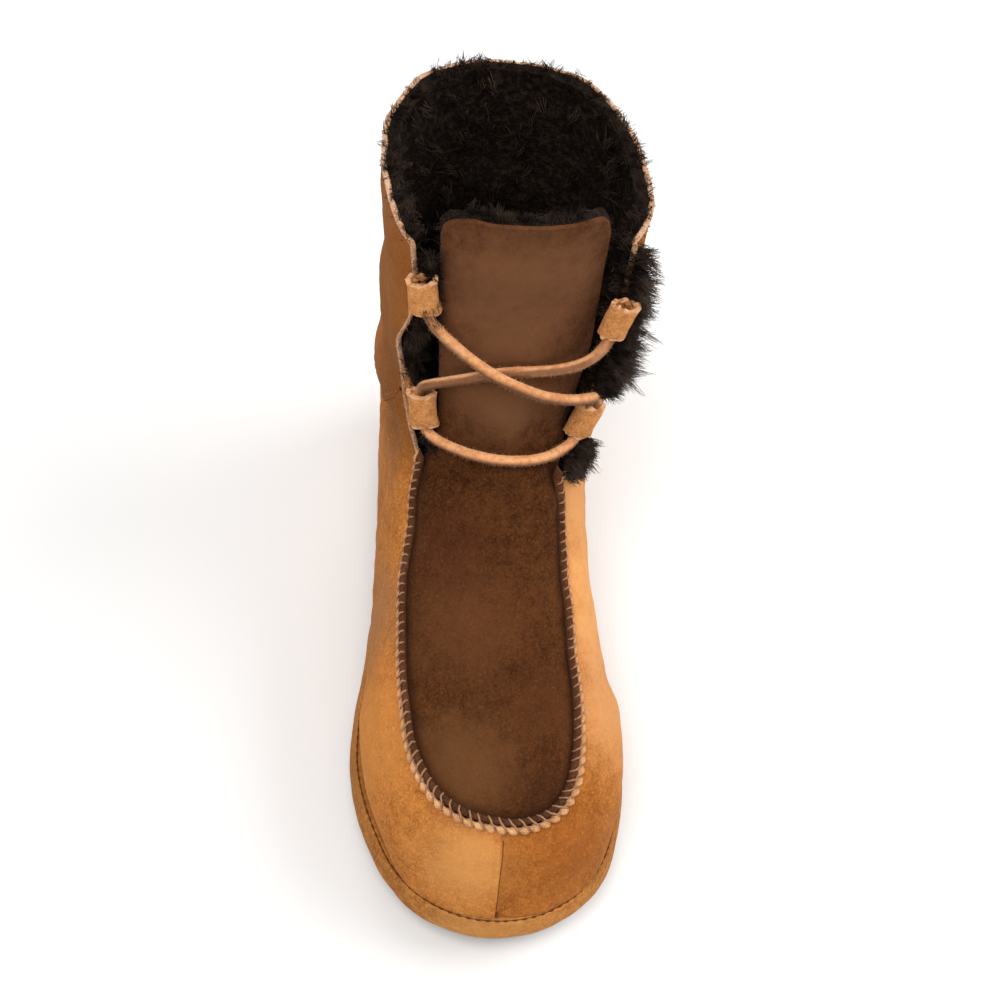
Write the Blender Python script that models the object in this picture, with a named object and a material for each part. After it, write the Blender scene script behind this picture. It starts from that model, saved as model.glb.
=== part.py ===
"""Shearling-lined suede moccasin boot for the right foot, standing on its sole.

Metres, +Z up, toe towards -Y, medial side towards +X.  The origin is under the
middle of the boot, on the floor.  Every shape is worked out in millimetres in a
side view (station = distance back from the toe tip, height above the floor) and
turned into metres by place().
"""
import math
from collections import namedtuple

import bmesh
import bpy
import numpy as np
from mathutils import Matrix, Vector

# ---- driving sizes, millimetres -------------------------------------------
MM = 0.001
TOE_S, HEEL_S = -1.8, 275.2   # stations of the toe tip and the back of the platform
GAP = 0.3                 # clearance kept between pieces that touch
WALL = 8.0                # suede and pile of the upper
APRON_THICK = 5.5         # suede and pile of the apron and tongue
COLLAR_Z = 196.0
TONGUE_Z = 208.0
OUTSOLE_THICK = 5.0
LUG_DEPTH = 2.2
INSOLE_THICK = 5.0
WRAP_BULGE = 4.4          # how far the wrapped platform stands out past the upper
LACE_DIA = 4.0
LOOP_DIA = 10.5
LOOP_BORE = 6.4
LOOP_LONG = 14.0
OUTER_STEP, OUTER_AROUND = 11.0, 36    # grid of the outer forms: spacing and points round
INNER_STEP, INNER_AROUND = 15.0, 28    # grid of the inner forms

# ---- tables ------------------------------------------------------------------
# The last: each row is a flat section from a front point on the instep line to a
# back point on the seat line, with its widest half widths on both sides.  belly is
# how far along the section the widest place lies; the powers square its two ends.
Section = namedtuple(
    "Section", "front_s front_z back_s back_z medial lateral belly front_power back_power")
LAST = (
    Section(4.6, 27.5, 4.6, 19.0, 4.0, 4.0, 0.50, 2.0, 2.0),
    Section(5.4, 31.5, 5.4, 15.0, 10.4, 10.4, 0.50, 2.1, 2.1),
    Section(8.0, 37.6, 8.0, 11.5, 18.4, 18.4, 0.50, 2.2, 2.2),
    Section(12.0, 44.0, 12.0, 9.0, 25.8, 25.8, 0.52, 2.3, 2.3),
    Section(19.5, 51.2, 19.5, 8.0, 34.6, 34.6, 0.53, 2.4, 2.4),
    Section(30.0, 56.6, 30.0, 8.0, 41.6, 41.6, 0.55, 2.4, 2.4),
    Section(45.0, 61.8, 45.0, 8.0, 47.4, 47.6, 0.56, 2.4, 2.4),
    Section(65.0, 68.5, 65.0, 8.0, 49.2, 51.0, 0.57, 2.4, 2.4),
    Section(90.0, 76.5, 91.0, 8.0, 45.4, 49.6, 0.59, 2.4, 2.4),
    Section(113.0, 86.0, 121.0, 8.0, 42.8, 47.0, 0.60, 2.3, 2.4),
    Section(127.0, 94.5, 153.0, 8.0, 41.8, 45.2, 0.61, 2.2, 2.4),
    Section(138.0, 104.5, 190.0, 8.0, 41.6, 43.6, 0.60, 2.2, 2.4),
    Section(145.5, 116.0, 230.0, 8.0, 42.0, 43.0, 0.56, 2.5, 2.4),
    Section(150.0, 129.0, 259.0, 14.0, 43.6, 43.2, 0.51, 2.8, 2.3),
    Section(153.0, 142.0, 269.5, 38.0, 45.2, 43.6, 0.47, 3.0, 2.2),
    Section(155.0, 155.0, 270.0, 70.0, 46.6, 44.0, 0.46, 3.1, 2.2),
    Section(156.5, 168.0, 265.5, 104.0, 47.8, 44.6, 0.47, 3.1, 2.2),
    Section(157.5, 181.0, 264.5, 138.0, 48.6, 45.0, 0.48, 3.1, 2.2),
    Section(158.0, 193.0, 266.5, 170.0, 49.0, 45.4, 0.49, 3.1, 2.2),
    Section(158.5, 205.0, 269.0, 198.0, 49.2, 45.6, 0.50, 3.1, 2.2),
    Section(158.5, 216.0, 270.0, 216.0, 49.2, 45.6, 0.50, 3.1, 2.2),
)

# The platform's plan outline, outermost edge of the suede wrap.
Plan = namedtuple("Plan", "s medial lateral")
PLATFORM = (
    Plan(TOE_S, 0.0, 0.0),
    Plan(-0.3, 12.4, 12.4),
    Plan(4.6, 24.2, 24.4),
    Plan(11.2, 33.0, 33.4),
    Plan(23.0, 42.2, 42.6),
    Plan(35.5, 47.4, 48.0),
    Plan(48.0, 51.0, 52.0),
    Plan(66.0, 52.3, 55.0),
    Plan(82.0, 49.6, 54.4),
    Plan(105.0, 46.6, 50.8),
    Plan(128.0, 43.8, 47.2),
    Plan(152.0, 41.4, 44.6),
    Plan(180.0, 40.8, 43.2),
    Plan(208.0, 42.0, 42.4),
    Plan(235.0, 41.8, 41.2),
    Plan(255.0, 34.6, 34.2),
    Plan(267.0, 23.6, 23.4),
    Plan(273.4, 11.2, 11.2),
    Plan(HEEL_S, 0.0, 0.0),
)

# Side view of the sole: tread height, and the top of the wrapped platform.
Side = namedtuple("Side", "s tread platform")
SOLE_SIDE = (
    Side(-4.0, 6.2, 23.8),
    Side(12.0, 3.6, 22.4),
    Side(30.0, 1.2, 21.2),
    Side(48.0, 0.15, 20.6),
    Side(56.0, 0.0, 20.6),
    Side(116.0, 0.0, 21.4),
    Side(132.0, 0.9, 22.4),
    Side(158.0, 2.4, 24.2),
    Side(184.0, 1.2, 26.0),
    Side(198.0, 0.0, 27.0),
    Side(262.0, 0.0, 29.4),
    Side(278.0, 1.6, 30.0),
)

# The apron's edge seen from above, and the edges of the throat above it seen
# from the front, each with its medial and lateral distance from the middle.
APRON_EDGE = (
    Plan(23.6, 2.6, -2.6),
    Plan(24.3, 8.4, 3.2),
    Plan(26.4, 15.0, 12.4),
    Plan(30.5, 20.4, 20.0),
    Plan(37.0, 24.4, 26.4),
    Plan(45.0, 26.6, 30.8),
    Plan(54.0, 27.7, 34.0),
    Plan(67.0, 28.2, 35.8),
    Plan(95.0, 27.4, 36.8),
    Plan(109.0, 26.8, 36.0),
    Plan(122.0, 26.3, 34.6),
    Plan(135.0, 25.2, 32.6),
    Plan(152.0, 23.4, 30.0),
    Plan(166.0, 22.0, 28.0),
    Plan(176.0, 0.0, 0.0),
)
Throat = namedtuple("Throat", "z medial lateral tongue_medial tongue_lateral")
THROAT_EDGE = (
    Throat(84.0, 22.5, 28.5, 22.2, 28.2),
    Throat(94.0, 23.6, 29.6, 23.0, 28.8),
    Throat(102.0, 29.2, 30.8, 24.5, 26.6),
    Throat(110.0, 35.4, 33.2, 27.0, 24.2),
    Throat(120.0, 38.4, 35.8, 29.4, 23.6),
    Throat(132.0, 39.8, 38.0, 31.4, 23.8),
    Throat(146.0, 40.4, 38.4, 32.4, 24.4),
    Throat(160.0, 40.8, 37.4, 32.2, 25.4),
    Throat(174.0, 41.0, 37.0, 32.0, 25.8),
    Throat(190.0, 41.6, 37.6, 32.0, 26.6),
    Throat(225.0, 42.0, 38.4, 32.0, 27.6),
)
TONGUE_SINK = 3.0         # how far the tongue lies behind the line of the quarters
TONGUE_CURL = 4.5         # how much further back its two sides lie
TONGUE_CORNER = 12.0      # radius of the tongue's top corners

# Middle of each rolled loop, how far its tube leans back and outwards in degrees,
# and the place inside the quarter's edge that its tab runs to.
Loop = namedtuple("Loop", "name x s z lean_back lean_out tab_x tab_s")
LOOPS = (
    Loop("loop_lateral_low", -29.4, 158.4, 124.0, 12.0, -8.0, -37.0, 174.5),
    Loop("loop_medial_low", 32.6, 160.0, 117.4, 12.0, 15.0, 39.0, 175.5),
    Loop("loop_lateral_high", -31.4, 164.8, 175.0, 3.0, -10.0, -38.6, 176.5),
    Loop("loop_medial_high", 38.6, 164.6, 165.5, 3.0, 14.0, 41.4, 177.0),
)
TAB_THICK = 1.8
TAB_TALL = 9.5

# The lace's way, from the end hidden in the upper lateral loop to the one hidden in
# the upper medial loop: width, station and height.
LACE_ROUTE = (
    (-32.1, 165.0, 178.9), (-31.4, 164.8, 175.0), (-30.2, 164.4, 168.1),
    (-28.4, 163.4, 164.2), (-24.8, 161.4, 160.2), (-18.4, 157.6, 156.0),
    (-10.6, 153.4, 151.9), (-2.7, 150.4, 148.4), (5.0, 150.2, 144.0),
    (12.4, 150.8, 139.8), (19.7, 152.8, 136.0), (26.8, 155.4, 132.8),
    (32.0, 158.2, 130.6), (34.8, 160.8, 128.0), (34.4, 161.4, 124.0),
    (32.6, 160.0, 117.4), (30.8, 158.6, 110.8), (28.4, 155.6, 108.3),
    (24.6, 152.2, 108.2), (19.0, 147.8, 109.4), (10.8, 144.4, 110.8),
    (0.7, 143.2, 112.0), (-9.2, 144.8, 112.6), (-18.4, 148.8, 112.8),
    (-24.4, 152.8, 113.0), (-27.4, 155.6, 114.2), (-28.4, 157.0, 117.2),
    (-29.4, 158.4, 124.0), (-30.4, 159.8, 130.8), (-29.8, 159.4, 134.2),
    (-27.0, 158.0, 137.2), (-22.6, 156.8, 139.6), (-17.0, 155.9, 142.0),
    (-10.1, 155.2, 144.6), (-1.0, 154.8, 147.2), (10.0, 155.4, 147.6),
    (19.6, 156.8, 147.6), (27.4, 158.8, 148.8), (33.2, 161.4, 151.8),
    (36.2, 163.6, 155.8), (36.9, 164.2, 158.7), (38.6, 164.6, 165.5),
    (39.6, 164.8, 169.4),
)

COLOURS = {
    "chestnut": ((0.52, 0.235, 0.075), 0.9),
    "wrap": ((0.46, 0.215, 0.075), 0.9),
    "chocolate": ((0.105, 0.04, 0.018), 0.92),
    "rubber": ((0.035, 0.022, 0.016), 0.7),
    "pile": ((0.03, 0.016, 0.01), 1.0),
    "loop": ((0.58, 0.27, 0.11), 0.85),
    "lace": ((0.62, 0.29, 0.12), 0.8),
}


# ---- small tools ---------------------------------------------------------------
def place(x, s, z):
    """A point from width, station and height in millimetres, in metres."""
    return Vector((x * MM, (s - (TOE_S + HEEL_S) / 2) * MM, z * MM))


def curve_through(keys, rows, at):
    """Values at 'at' on a smooth curve through rows that stand at keys."""
    keys = np.asarray(keys, float)
    rows = np.asarray(rows, float)
    slopes = np.gradient(rows, keys, axis=0)
    at = np.clip(np.asarray(at, float), keys[0], keys[-1])
    i = np.clip(np.searchsorted(keys, at, side="right") - 1, 0, len(keys) - 2)
    width = keys[i + 1] - keys[i]
    t = (at - keys[i]) / width
    shape = (-1,) + (1,) * (rows.ndim - 1)
    t, width = t.reshape(shape), width.reshape(shape)
    start, end = rows[i], rows[i + 1]
    return ((2 * t**3 - 3 * t**2 + 1) * start + (t**3 - 2 * t**2 + t) * width * slopes[i]
            + (3 * t**2 - 2 * t**3) * end + (t**3 - t**2) * width * slopes[i + 1])


def column(table, name):
    return [getattr(row, name) for row in table]


def material(name):
    colour, rough = COLOURS[name]
    made = bpy.data.materials.get(name)
    if made is None:
        made = bpy.data.materials.new(name)
        made.use_nodes = True
        shader = made.node_tree.nodes["Principled BSDF"]
        shader.inputs["Base Color"].default_value = (*colour, 1.0)
        shader.inputs["Roughness"].default_value = rough
        shader.inputs["Metallic"].default_value = 0.0
        made.diffuse_color = (*colour, 1.0)
    return made


def add_object(name, mesh, finish=None, cutter=False):
    """An object in the boot's collection, or a hidden cutter in its own."""
    made = bpy.data.objects.new(name, mesh)
    if cutter:
        cutters.objects.link(made)
        made.hide_render = True
        made.display_type = "WIRE"
    else:
        boot.objects.link(made)
        mesh.materials.clear()
        mesh.materials.append(material(finish))
        mesh.shade_smooth()
        mesh.set_sharp_from_angle(angle=math.radians(40))
    return made


def mesh_from_rings(name, rings, closed_ends=True):
    """A closed body through rings of points, each ring a list of vectors."""
    body = bmesh.new()
    made = [[body.verts.new(p) for p in ring] for ring in rings]
    count = len(rings[0])
    for low, high in zip(made, made[1:]):
        for j in range(count):
            k = (j + 1) % count
            body.faces.new((low[j], low[k], high[k], high[j]))
    if closed_ends:
        for ring in (made[0], made[-1]):
            middle = body.verts.new(sum((v.co for v in ring), Vector()) / count)
            for j in range(count):
                body.faces.new((ring[j], ring[(j + 1) % count], middle))
    bmesh.ops.recalc_face_normals(body, faces=body.faces)
    mesh = bpy.data.meshes.new(name)
    body.to_mesh(mesh)
    body.free()
    return mesh


def prism(name, outline, across, along):
    """A closed prism: outline points pushed from one side to the other.

    outline is a list of (a, b) pairs in millimetres.  across says which two of
    x, s and z they are, and along is the (low, high) range of the third.
    """
    axes = {"xs": lambda a, b, c: place(a, b, c), "sz": lambda a, b, c: place(c, a, b),
            "xz": lambda a, b, c: place(a, c, b)}
    put = axes[across]
    body = bmesh.new()
    face = body.faces.new([body.verts.new(put(a, b, along[0])) for a, b in outline])
    pushed = bmesh.ops.extrude_face_region(body, geom=[face])
    move = put(0, 0, along[1]) - put(0, 0, along[0])
    moved = [v for v in pushed["geom"] if isinstance(v, bmesh.types.BMVert)]
    bmesh.ops.translate(body, verts=moved, vec=move)
    bmesh.ops.recalc_face_normals(body, faces=body.faces)
    mesh = bpy.data.meshes.new(name)
    body.to_mesh(mesh)
    body.free()
    return mesh


def boolean(target, operation, *tools):
    for tool in tools:
        cut = target.modifiers.new(tool.name, "BOOLEAN")
        cut.operation = operation
        cut.solver = "EXACT"
        cut.object = tool


# ---- the last ------------------------------------------------------------------
def last_points(step, around):
    """The outer skin as a grid: sections from toe to collar, points round each."""
    rows = np.array([list(row) for row in LAST])
    travel = [0.0]
    for one, two in zip(LAST, LAST[1:]):
        front = math.hypot(two.front_s - one.front_s, two.front_z - one.front_z)
        back = math.hypot(two.back_s - one.back_s, two.back_z - one.back_z)
        travel.append(travel[-1] + max(front, back, 3.0))
    at = []
    for start, end in zip(travel, travel[1:]):
        pieces = max(1, round((end - start) / step))
        at += list(np.linspace(start, end, pieces, endpoint=False))
    at.append(travel[-1])
    grid = []
    for front_s, front_z, back_s, back_z, medial, lateral, belly, front_n, back_n in \
            curve_through(travel, rows, at):
        ring = []
        for j in range(around):
            turn = 2 * math.pi * j / around
            side, ahead = math.sin(turn), math.cos(turn)
            power = 2 / (front_n if ahead > 0 else back_n)
            half = medial if side > 0 else lateral
            x = math.copysign(half * abs(side) ** power, side)
            if ahead > 0:
                u = belly * (1 - ahead ** power)
            else:
                u = belly + (1 - belly) * abs(ahead) ** power
            ring.append((x, front_s + u * (back_s - front_s), front_z + u * (back_z - front_z)))
        grid.append(ring)
    return np.array(grid)


def last_normals(grid):
    """Outward normals of the grid, from its two directions."""
    along = np.gradient(grid, axis=0)
    around = np.roll(grid, -1, axis=1) - np.roll(grid, 1, axis=1)
    normal = np.cross(around, along)
    return normal / np.linalg.norm(normal, axis=2, keepdims=True)


def last_form(name, inward, step, around):
    """The closed form that lies 'inward' millimetres inside the outer skin.

    inward is a number, or a function of the grid's station and height.
    """
    grid = last_points(step, around)
    depth = inward(grid) if callable(inward) else np.full(grid.shape[:2], float(inward))
    moved = grid - last_normals(grid) * depth[..., None]
    rings = [[place(*p) for p in ring] for ring in moved]
    return add_object(name, mesh_from_rings(name, rings), cutter=True)


def smooth_step(value, low, high):
    t = np.clip((value - low) / (high - low), 0, 1)
    return t * t * (3 - 2 * t)


# ---- outlines --------------------------------------------------------------------
def plan_outline(table, inset, points):
    """A closed plan outline through a table of half widths, moved in by inset."""
    edge = [(row.medial, row.s) for row in table]
    edge += [(-row.lateral, row.s) for row in reversed(table[1:-1])]
    edge = np.array(edge, float)
    loop = np.vstack([edge, edge[:1]])
    steps = np.linalg.norm(np.diff(loop, axis=0), axis=1)
    key = np.concatenate([[0], np.cumsum(steps)])
    long = np.vstack([loop[-3:-1], loop, loop[1:3]])
    long_key = np.concatenate([key[-3:-1] - key[-1], key, key[-1] + key[1:3]])
    at = np.linspace(0, key[-1], points, endpoint=False)
    line = curve_through(long_key, long, at)
    ahead = np.roll(line, -1, axis=0) - np.roll(line, 1, axis=0)
    inward = np.stack([-ahead[:, 1], ahead[:, 0]], axis=1)
    inward /= np.linalg.norm(inward, axis=1, keepdims=True)
    return line + inward * inset


def side_height(name, s):
    return curve_through(column(SOLE_SIDE, "s"), column(SOLE_SIDE, name), np.atleast_1d(s))


def side_slab(name, low, high, half=80.0):
    """A wide slab between two heights that both follow the sole's side view."""
    stations = np.linspace(SOLE_SIDE[0].s, SOLE_SIDE[-1].s, 41)
    lower = [(s, low(s)) for s in stations]
    upper = [(s, high(s)) for s in stations[::-1]]
    return add_object(name, prism(name, lower + upper, "sz", (-half, half)), cutter=True)


def tread(s):
    """Height of the tread, which lies flat on the floor under heel and forefoot."""
    return max(0.0, float(side_height("tread", s)[0]))


def platform_top(s):
    return float(side_height("platform", s)[0])


# ---- the pieces ------------------------------------------------------------------
def make_outsole():
    """The rubber unit: plan outline, toe spring, arch, and lugs cut across it."""
    outline = plan_outline(PLATFORM, 3.8, 72)
    body = add_object("outsole", prism("outsole", outline.tolist(), "xs", (-3.0, 25.0)), "rubber")
    slab = side_slab("outsole_slab", tread, lambda s: tread(s) + OUTSOLE_THICK - GAP)
    boolean(body, "INTERSECT", slab)
    groove = 4.0
    pitch = 15.0
    starts = [24.0 + pitch * i for i in range(7)] + [212.0 + pitch * i for i in range(4)]
    for number, s in enumerate(starts):
        bent = [(-70.0, s + 5.0), (0.0, s - 5.0), (70.0, s + 5.0)]
        band = bent + [(x, y + groove) for x, y in reversed(bent)]
        height = tread(s + groove / 2) + LUG_DEPTH
        name = f"tread_groove_{number + 1}"
        boolean(body, "DIFFERENCE",
                add_object(name, prism(name, band, "xs", (-10.0, height)), cutter=True))
    return body


def make_platform():
    """The midsole in its suede wrap: a fat rounded band round a flat platform."""
    # depth down the band, from its top lip (0) to its lower edge (1), and inset
    profile = ((-0.2, WRAP_BULGE + 1.5), (0.0, WRAP_BULGE - 1.2), (0.10, 3.0), (0.27, 1.1),
               (0.48, 0.1), (0.70, 0.0), (0.88, 0.8), (1.0, 2.4), (1.2, 4.4))
    rings = []
    for depth, inset in profile:
        ring = []
        for x, s in plan_outline(PLATFORM, inset, 72):
            top = platform_top(s)
            low = tread(s) + OUTSOLE_THICK
            ring.append(place(x, s, top + (low - top) * depth))
        rings.append(ring)
    wrap = add_object("platform_wrap", mesh_from_rings("platform_wrap", rings), "wrap")
    slab = side_slab("platform_slab", lambda s: tread(s) + OUTSOLE_THICK, platform_top)
    boolean(wrap, "INTERSECT", slab)
    return wrap


def upper_skin(name, grow, outer=None):
    """Wall, quarters and shaft as one hollow skin, swollen all over by grow."""
    def depth(grid):
        return (WALL + grow) * smooth_step(grid[..., 2], 4.0, 20.0)

    if outer is None:
        outer = last_form(name + "_outside", -grow, OUTER_STEP, OUTER_AROUND)
        skin = add_object(name, outer.data, cutter=True)
    else:
        skin = add_object(name, outer.data.copy(), "chestnut")
    inside = last_form(name + "_inside", depth, INNER_STEP, INNER_AROUND)
    seat = side_slab(name + "_seat", lambda s: -10.0, lambda s: platform_top(s) + GAP - grow)
    rim = [(120.0, COLLAR_Z - 3.0 + grow), (285.0, COLLAR_Z + 2.0 + grow), (285.0, 240.0),
           (120.0, 240.0)]
    collar = add_object(name + "_collar", prism(name + "_collar", rim, "sz", (-80.0, 80.0)),
                        cutter=True)
    boolean(skin, "DIFFERENCE", inside, seat, collar, *apron_cutters(name + "_opening", grow))
    return skin


def apron_cutters(name, shrink, tongue=False):
    """Two cutters that together cover apron and throat, smaller by shrink."""
    edge = plan_outline(APRON_EDGE, shrink, 60)
    apron = add_object(name + "_apron", prism(name + "_apron", edge.tolist(), "xs", (44.0, 99.0)),
                       cutter=True)
    top = TONGUE_Z - TONGUE_CORNER if tongue else THROAT_EDGE[-1].z
    heights = np.linspace(THROAT_EDGE[0].z, top, 16)
    keys = column(THROAT_EDGE, "z")
    sides = []
    for side, sign in (("medial", 1), ("lateral", -1)):
        which = "tongue_" + side if tongue else side
        widths = curve_through(keys, column(THROAT_EDGE, which), heights) - shrink
        line = [(sign * w, z) for w, z in zip(widths, heights)]
        if tongue:
            for turn in (30.0, 60.0, 90.0):
                back = TONGUE_CORNER * (1 - math.cos(math.radians(turn)))
                up = TONGUE_CORNER * math.sin(math.radians(turn))
                line.append((sign * (widths[-1] - back), top + up))
        sides += line if sign > 0 else line[::-1]
    throat = add_object(name + "_throat", prism(name + "_throat", sides, "xz", (100.0, 205.0)),
                        cutter=True)
    return apron, throat


def make_apron():
    """Apron and tongue in one: the skin between two forms, cut to their outline."""
    def sink(grid):
        curl = TONGUE_CURL * np.minimum(1.2, (grid[..., 0] / 30.0) ** 2)
        return (TONGUE_SINK + curl) * smooth_step(grid[..., 2], 94.0, 114.0)

    face = last_form("apron_face", sink, OUTER_STEP, OUTER_AROUND)
    back = last_form("apron_back", lambda grid: sink(grid) + APRON_THICK, INNER_STEP,
                     INNER_AROUND)
    apron = add_object("apron_tongue", face.data.copy(), "chocolate")
    edge, throat = apron_cutters("tongue", GAP, tongue=True)
    boolean(edge, "UNION", throat)
    boolean(apron, "DIFFERENCE", back)
    boolean(apron, "INTERSECT", edge)
    return apron


def make_insole():
    """The sheepskin footbed, as wide as the inside of the upper lets it be."""
    footbed = last_form("insole_form", lambda grid: (WALL + GAP) * smooth_step(
        grid[..., 2], 4.0, 20.0), INNER_STEP, INNER_AROUND)
    insole = add_object("insole", footbed.data.copy(), "pile")
    slab = side_slab("insole_slab", lambda s: platform_top(s) + GAP,
                     lambda s: platform_top(s) + GAP + INSOLE_THICK)
    boolean(insole, "INTERSECT", slab)
    return insole


def solid(name, build):
    """A mesh built by one of the bmesh primitive operators."""
    body = bmesh.new()
    build(body)
    mesh = bpy.data.meshes.new(name)
    body.to_mesh(mesh)
    body.free()
    return mesh


def loop_axis(row):
    """Direction of a loop's tube, leaning with the edge of the quarter."""
    tilt = Vector((math.tan(math.radians(row.lean_out)), math.tan(math.radians(row.lean_back)), 1))
    return tilt.normalized()


def make_loops(clearance):
    """Four rolled tubes on tabs that are caught in the front edges of the quarters."""
    for row in LOOPS:
        middle = place(row.x, row.s, row.z)
        turn = loop_axis(row).to_track_quat("Z", "Y").to_matrix().to_4x4()
        where = Matrix.Translation(middle) @ turn
        tube = solid(row.name, lambda body: bmesh.ops.create_cone(
            body, cap_ends=True, segments=20, radius1=LOOP_DIA / 2 * MM,
            radius2=LOOP_DIA / 2 * MM, depth=LOOP_LONG * MM, matrix=where))
        bore = solid(row.name + "_bore", lambda body: bmesh.ops.create_cone(
            body, cap_ends=True, segments=16, radius1=LOOP_BORE / 2 * MM,
            radius2=LOOP_BORE / 2 * MM, depth=2 * LOOP_LONG * MM, matrix=where))
        reach = place(row.tab_x, row.tab_s, row.z) - middle
        ahead, up = reach.normalized(), Vector((0.0, 0.0, 1.0))
        frame = Matrix((ahead, up.cross(ahead), up)).transposed()
        size = Matrix.Diagonal((reach.length, TAB_THICK * MM, TAB_TALL * MM, 1.0))
        tab = solid(row.name + "_tab", lambda body: bmesh.ops.create_cube(
            body, size=1.0, matrix=Matrix.Translation(middle + reach / 2)
            @ frame.to_4x4() @ size))
        loop = add_object(row.name, tube, "loop")
        boolean(loop, "UNION", add_object(row.name + "_tab", tab, cutter=True))
        boolean(loop, "DIFFERENCE", add_object(row.name + "_bore", bore, cutter=True), clearance)


def make_lace():
    """One round lace through all four loops: two crossed strands and a low bar."""
    route = np.array(LACE_ROUTE)
    steps = np.linalg.norm(np.diff(route, axis=0), axis=1)
    key = np.concatenate([[0], np.cumsum(steps)])
    line = curve_through(key, route, np.linspace(0, key[-1], 76))
    curve = bpy.data.curves.new("lace", "CURVE")
    curve.dimensions = "3D"
    curve.bevel_depth = LACE_DIA / 2 * MM
    curve.bevel_resolution = 2
    curve.use_fill_caps = True
    spline = curve.splines.new("POLY")
    spline.points.add(len(line) - 1)
    for point, where in zip(spline.points, line):
        point.co = (*place(*where), 1.0)
    curve.materials.append(material("lace"))
    boot.objects.link(bpy.data.objects.new("lace", curve))


# ---- build -------------------------------------------------------------------------
for old in list(bpy.data.objects):
    bpy.data.objects.remove(old, do_unlink=True)
boot = bpy.data.collections.new("snow_boot")
cutters = bpy.data.collections.new("cutters")
bpy.context.scene.collection.children.link(boot)
bpy.context.scene.collection.children.link(cutters)

outer_form = last_form("upper_outside", 0.0, OUTER_STEP, OUTER_AROUND)
make_outsole()
make_platform()
make_insole()
upper_skin("upper", 0.0, outer_form)
make_apron()
make_loops(upper_skin("loop_clearance", GAP))
make_lace()
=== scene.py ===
"""Shearling-lined suede moccasin boot for the right foot: its finish, seams, lace and fur.

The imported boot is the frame.  Sizes are in millimetres, as width (medial side
positive), station (distance back from the toe tip) and height above the floor.
"""

import math
from collections import namedtuple

import bpy
import numpy as np
from mathutils import Matrix, Vector, noise
from mathutils.bvhtree import BVHTree
from mathutils.kdtree import KDTree


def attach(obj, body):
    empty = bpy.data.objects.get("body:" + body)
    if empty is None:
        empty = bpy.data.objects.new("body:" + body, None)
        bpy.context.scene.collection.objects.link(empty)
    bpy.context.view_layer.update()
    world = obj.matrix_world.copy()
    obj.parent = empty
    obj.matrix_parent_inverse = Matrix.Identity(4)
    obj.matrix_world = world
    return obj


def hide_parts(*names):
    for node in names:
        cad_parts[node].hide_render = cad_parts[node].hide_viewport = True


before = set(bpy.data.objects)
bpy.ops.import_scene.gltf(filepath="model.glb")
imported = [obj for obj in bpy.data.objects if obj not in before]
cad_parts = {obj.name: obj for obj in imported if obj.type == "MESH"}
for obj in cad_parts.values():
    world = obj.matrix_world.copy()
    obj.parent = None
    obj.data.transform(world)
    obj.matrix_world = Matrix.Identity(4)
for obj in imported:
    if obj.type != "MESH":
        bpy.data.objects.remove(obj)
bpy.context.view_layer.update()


# ---- Camera, floor and lights --------------------------------------------------------
# The boot is seen from above its toe and a little from its lateral side.  It stands
# on a plain pale floor under a pale sky, lit by one wide lamp and two weaker ones.
MM = 0.001
EYE = Vector((-0.0597, -0.3177, 0.5054))
AIM = Vector((0.0031, 0.0122, 0.0807))
EYE_DOWN = math.radians(59.27)
LENS = 49.5
FLOOR_SIZE, FLOOR_DROP = 8.0, 0.0004

level = Vector((0.0, math.cos(EYE_DOWN), -math.sin(EYE_DOWN)))
turned = level.rotation_difference((AIM - EYE).normalized())
camera = bpy.data.objects.new("camera", bpy.data.cameras.new("camera"))
camera.data.lens = LENS
camera.data.sensor_width = 36.0
camera.data.clip_start = 0.01
camera.location = EYE
camera.rotation_mode = "QUATERNION"
camera.rotation_quaternion = turned @ level.to_track_quat("-Z", "Y")
bpy.context.scene.collection.objects.link(camera)
bpy.context.scene.camera = camera
bpy.context.scene.view_settings.view_transform = "Standard"

bpy.ops.object.select_all(action="DESELECT")
bpy.ops.mesh.primitive_plane_add(size=FLOOR_SIZE, location=(0.0, 0.0, -FLOOR_DROP))
floor = bpy.context.object
floor.name = "floor"
paper = bpy.data.materials.new("paper")
paper.use_nodes = True
card = paper.node_tree.nodes["Principled BSDF"].inputs
card["Base Color"].default_value = (0.93, 0.93, 0.925, 1.0)
card["Roughness"].default_value = 0.8
floor.data.materials.append(paper)

sky = bpy.data.worlds.new("studio")
sky.use_nodes = True
air = sky.node_tree.nodes["Background"].inputs
air["Color"].default_value = (1.0, 0.99, 0.97, 1.0)
air["Strength"].default_value = 0.42
bpy.context.scene.world = sky
Lamp = namedtuple("Lamp", "name x y z size power")
LAMPS = (Lamp("key", -0.35, -0.6, 1.45, 1.0, 15.5), Lamp("fill", 1.0, 0.1, 0.9, 0.9, 9.0),
         Lamp("back", 0.0, 1.2, 1.0, 1.0, 5.0))
LAMPS_FACE = Vector((0.0, 0.0, 0.08))
for lamp in LAMPS:
    light = bpy.data.lights.new(lamp.name, "AREA")
    light.size = lamp.size
    light.energy = lamp.power
    made = bpy.data.objects.new(lamp.name, light)
    made.location = (lamp.x, lamp.y, lamp.z)
    made.rotation_euler = (LAMPS_FACE - made.location).to_track_quat("-Z", "Y").to_euler()
    bpy.context.scene.collection.objects.link(made)


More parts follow.
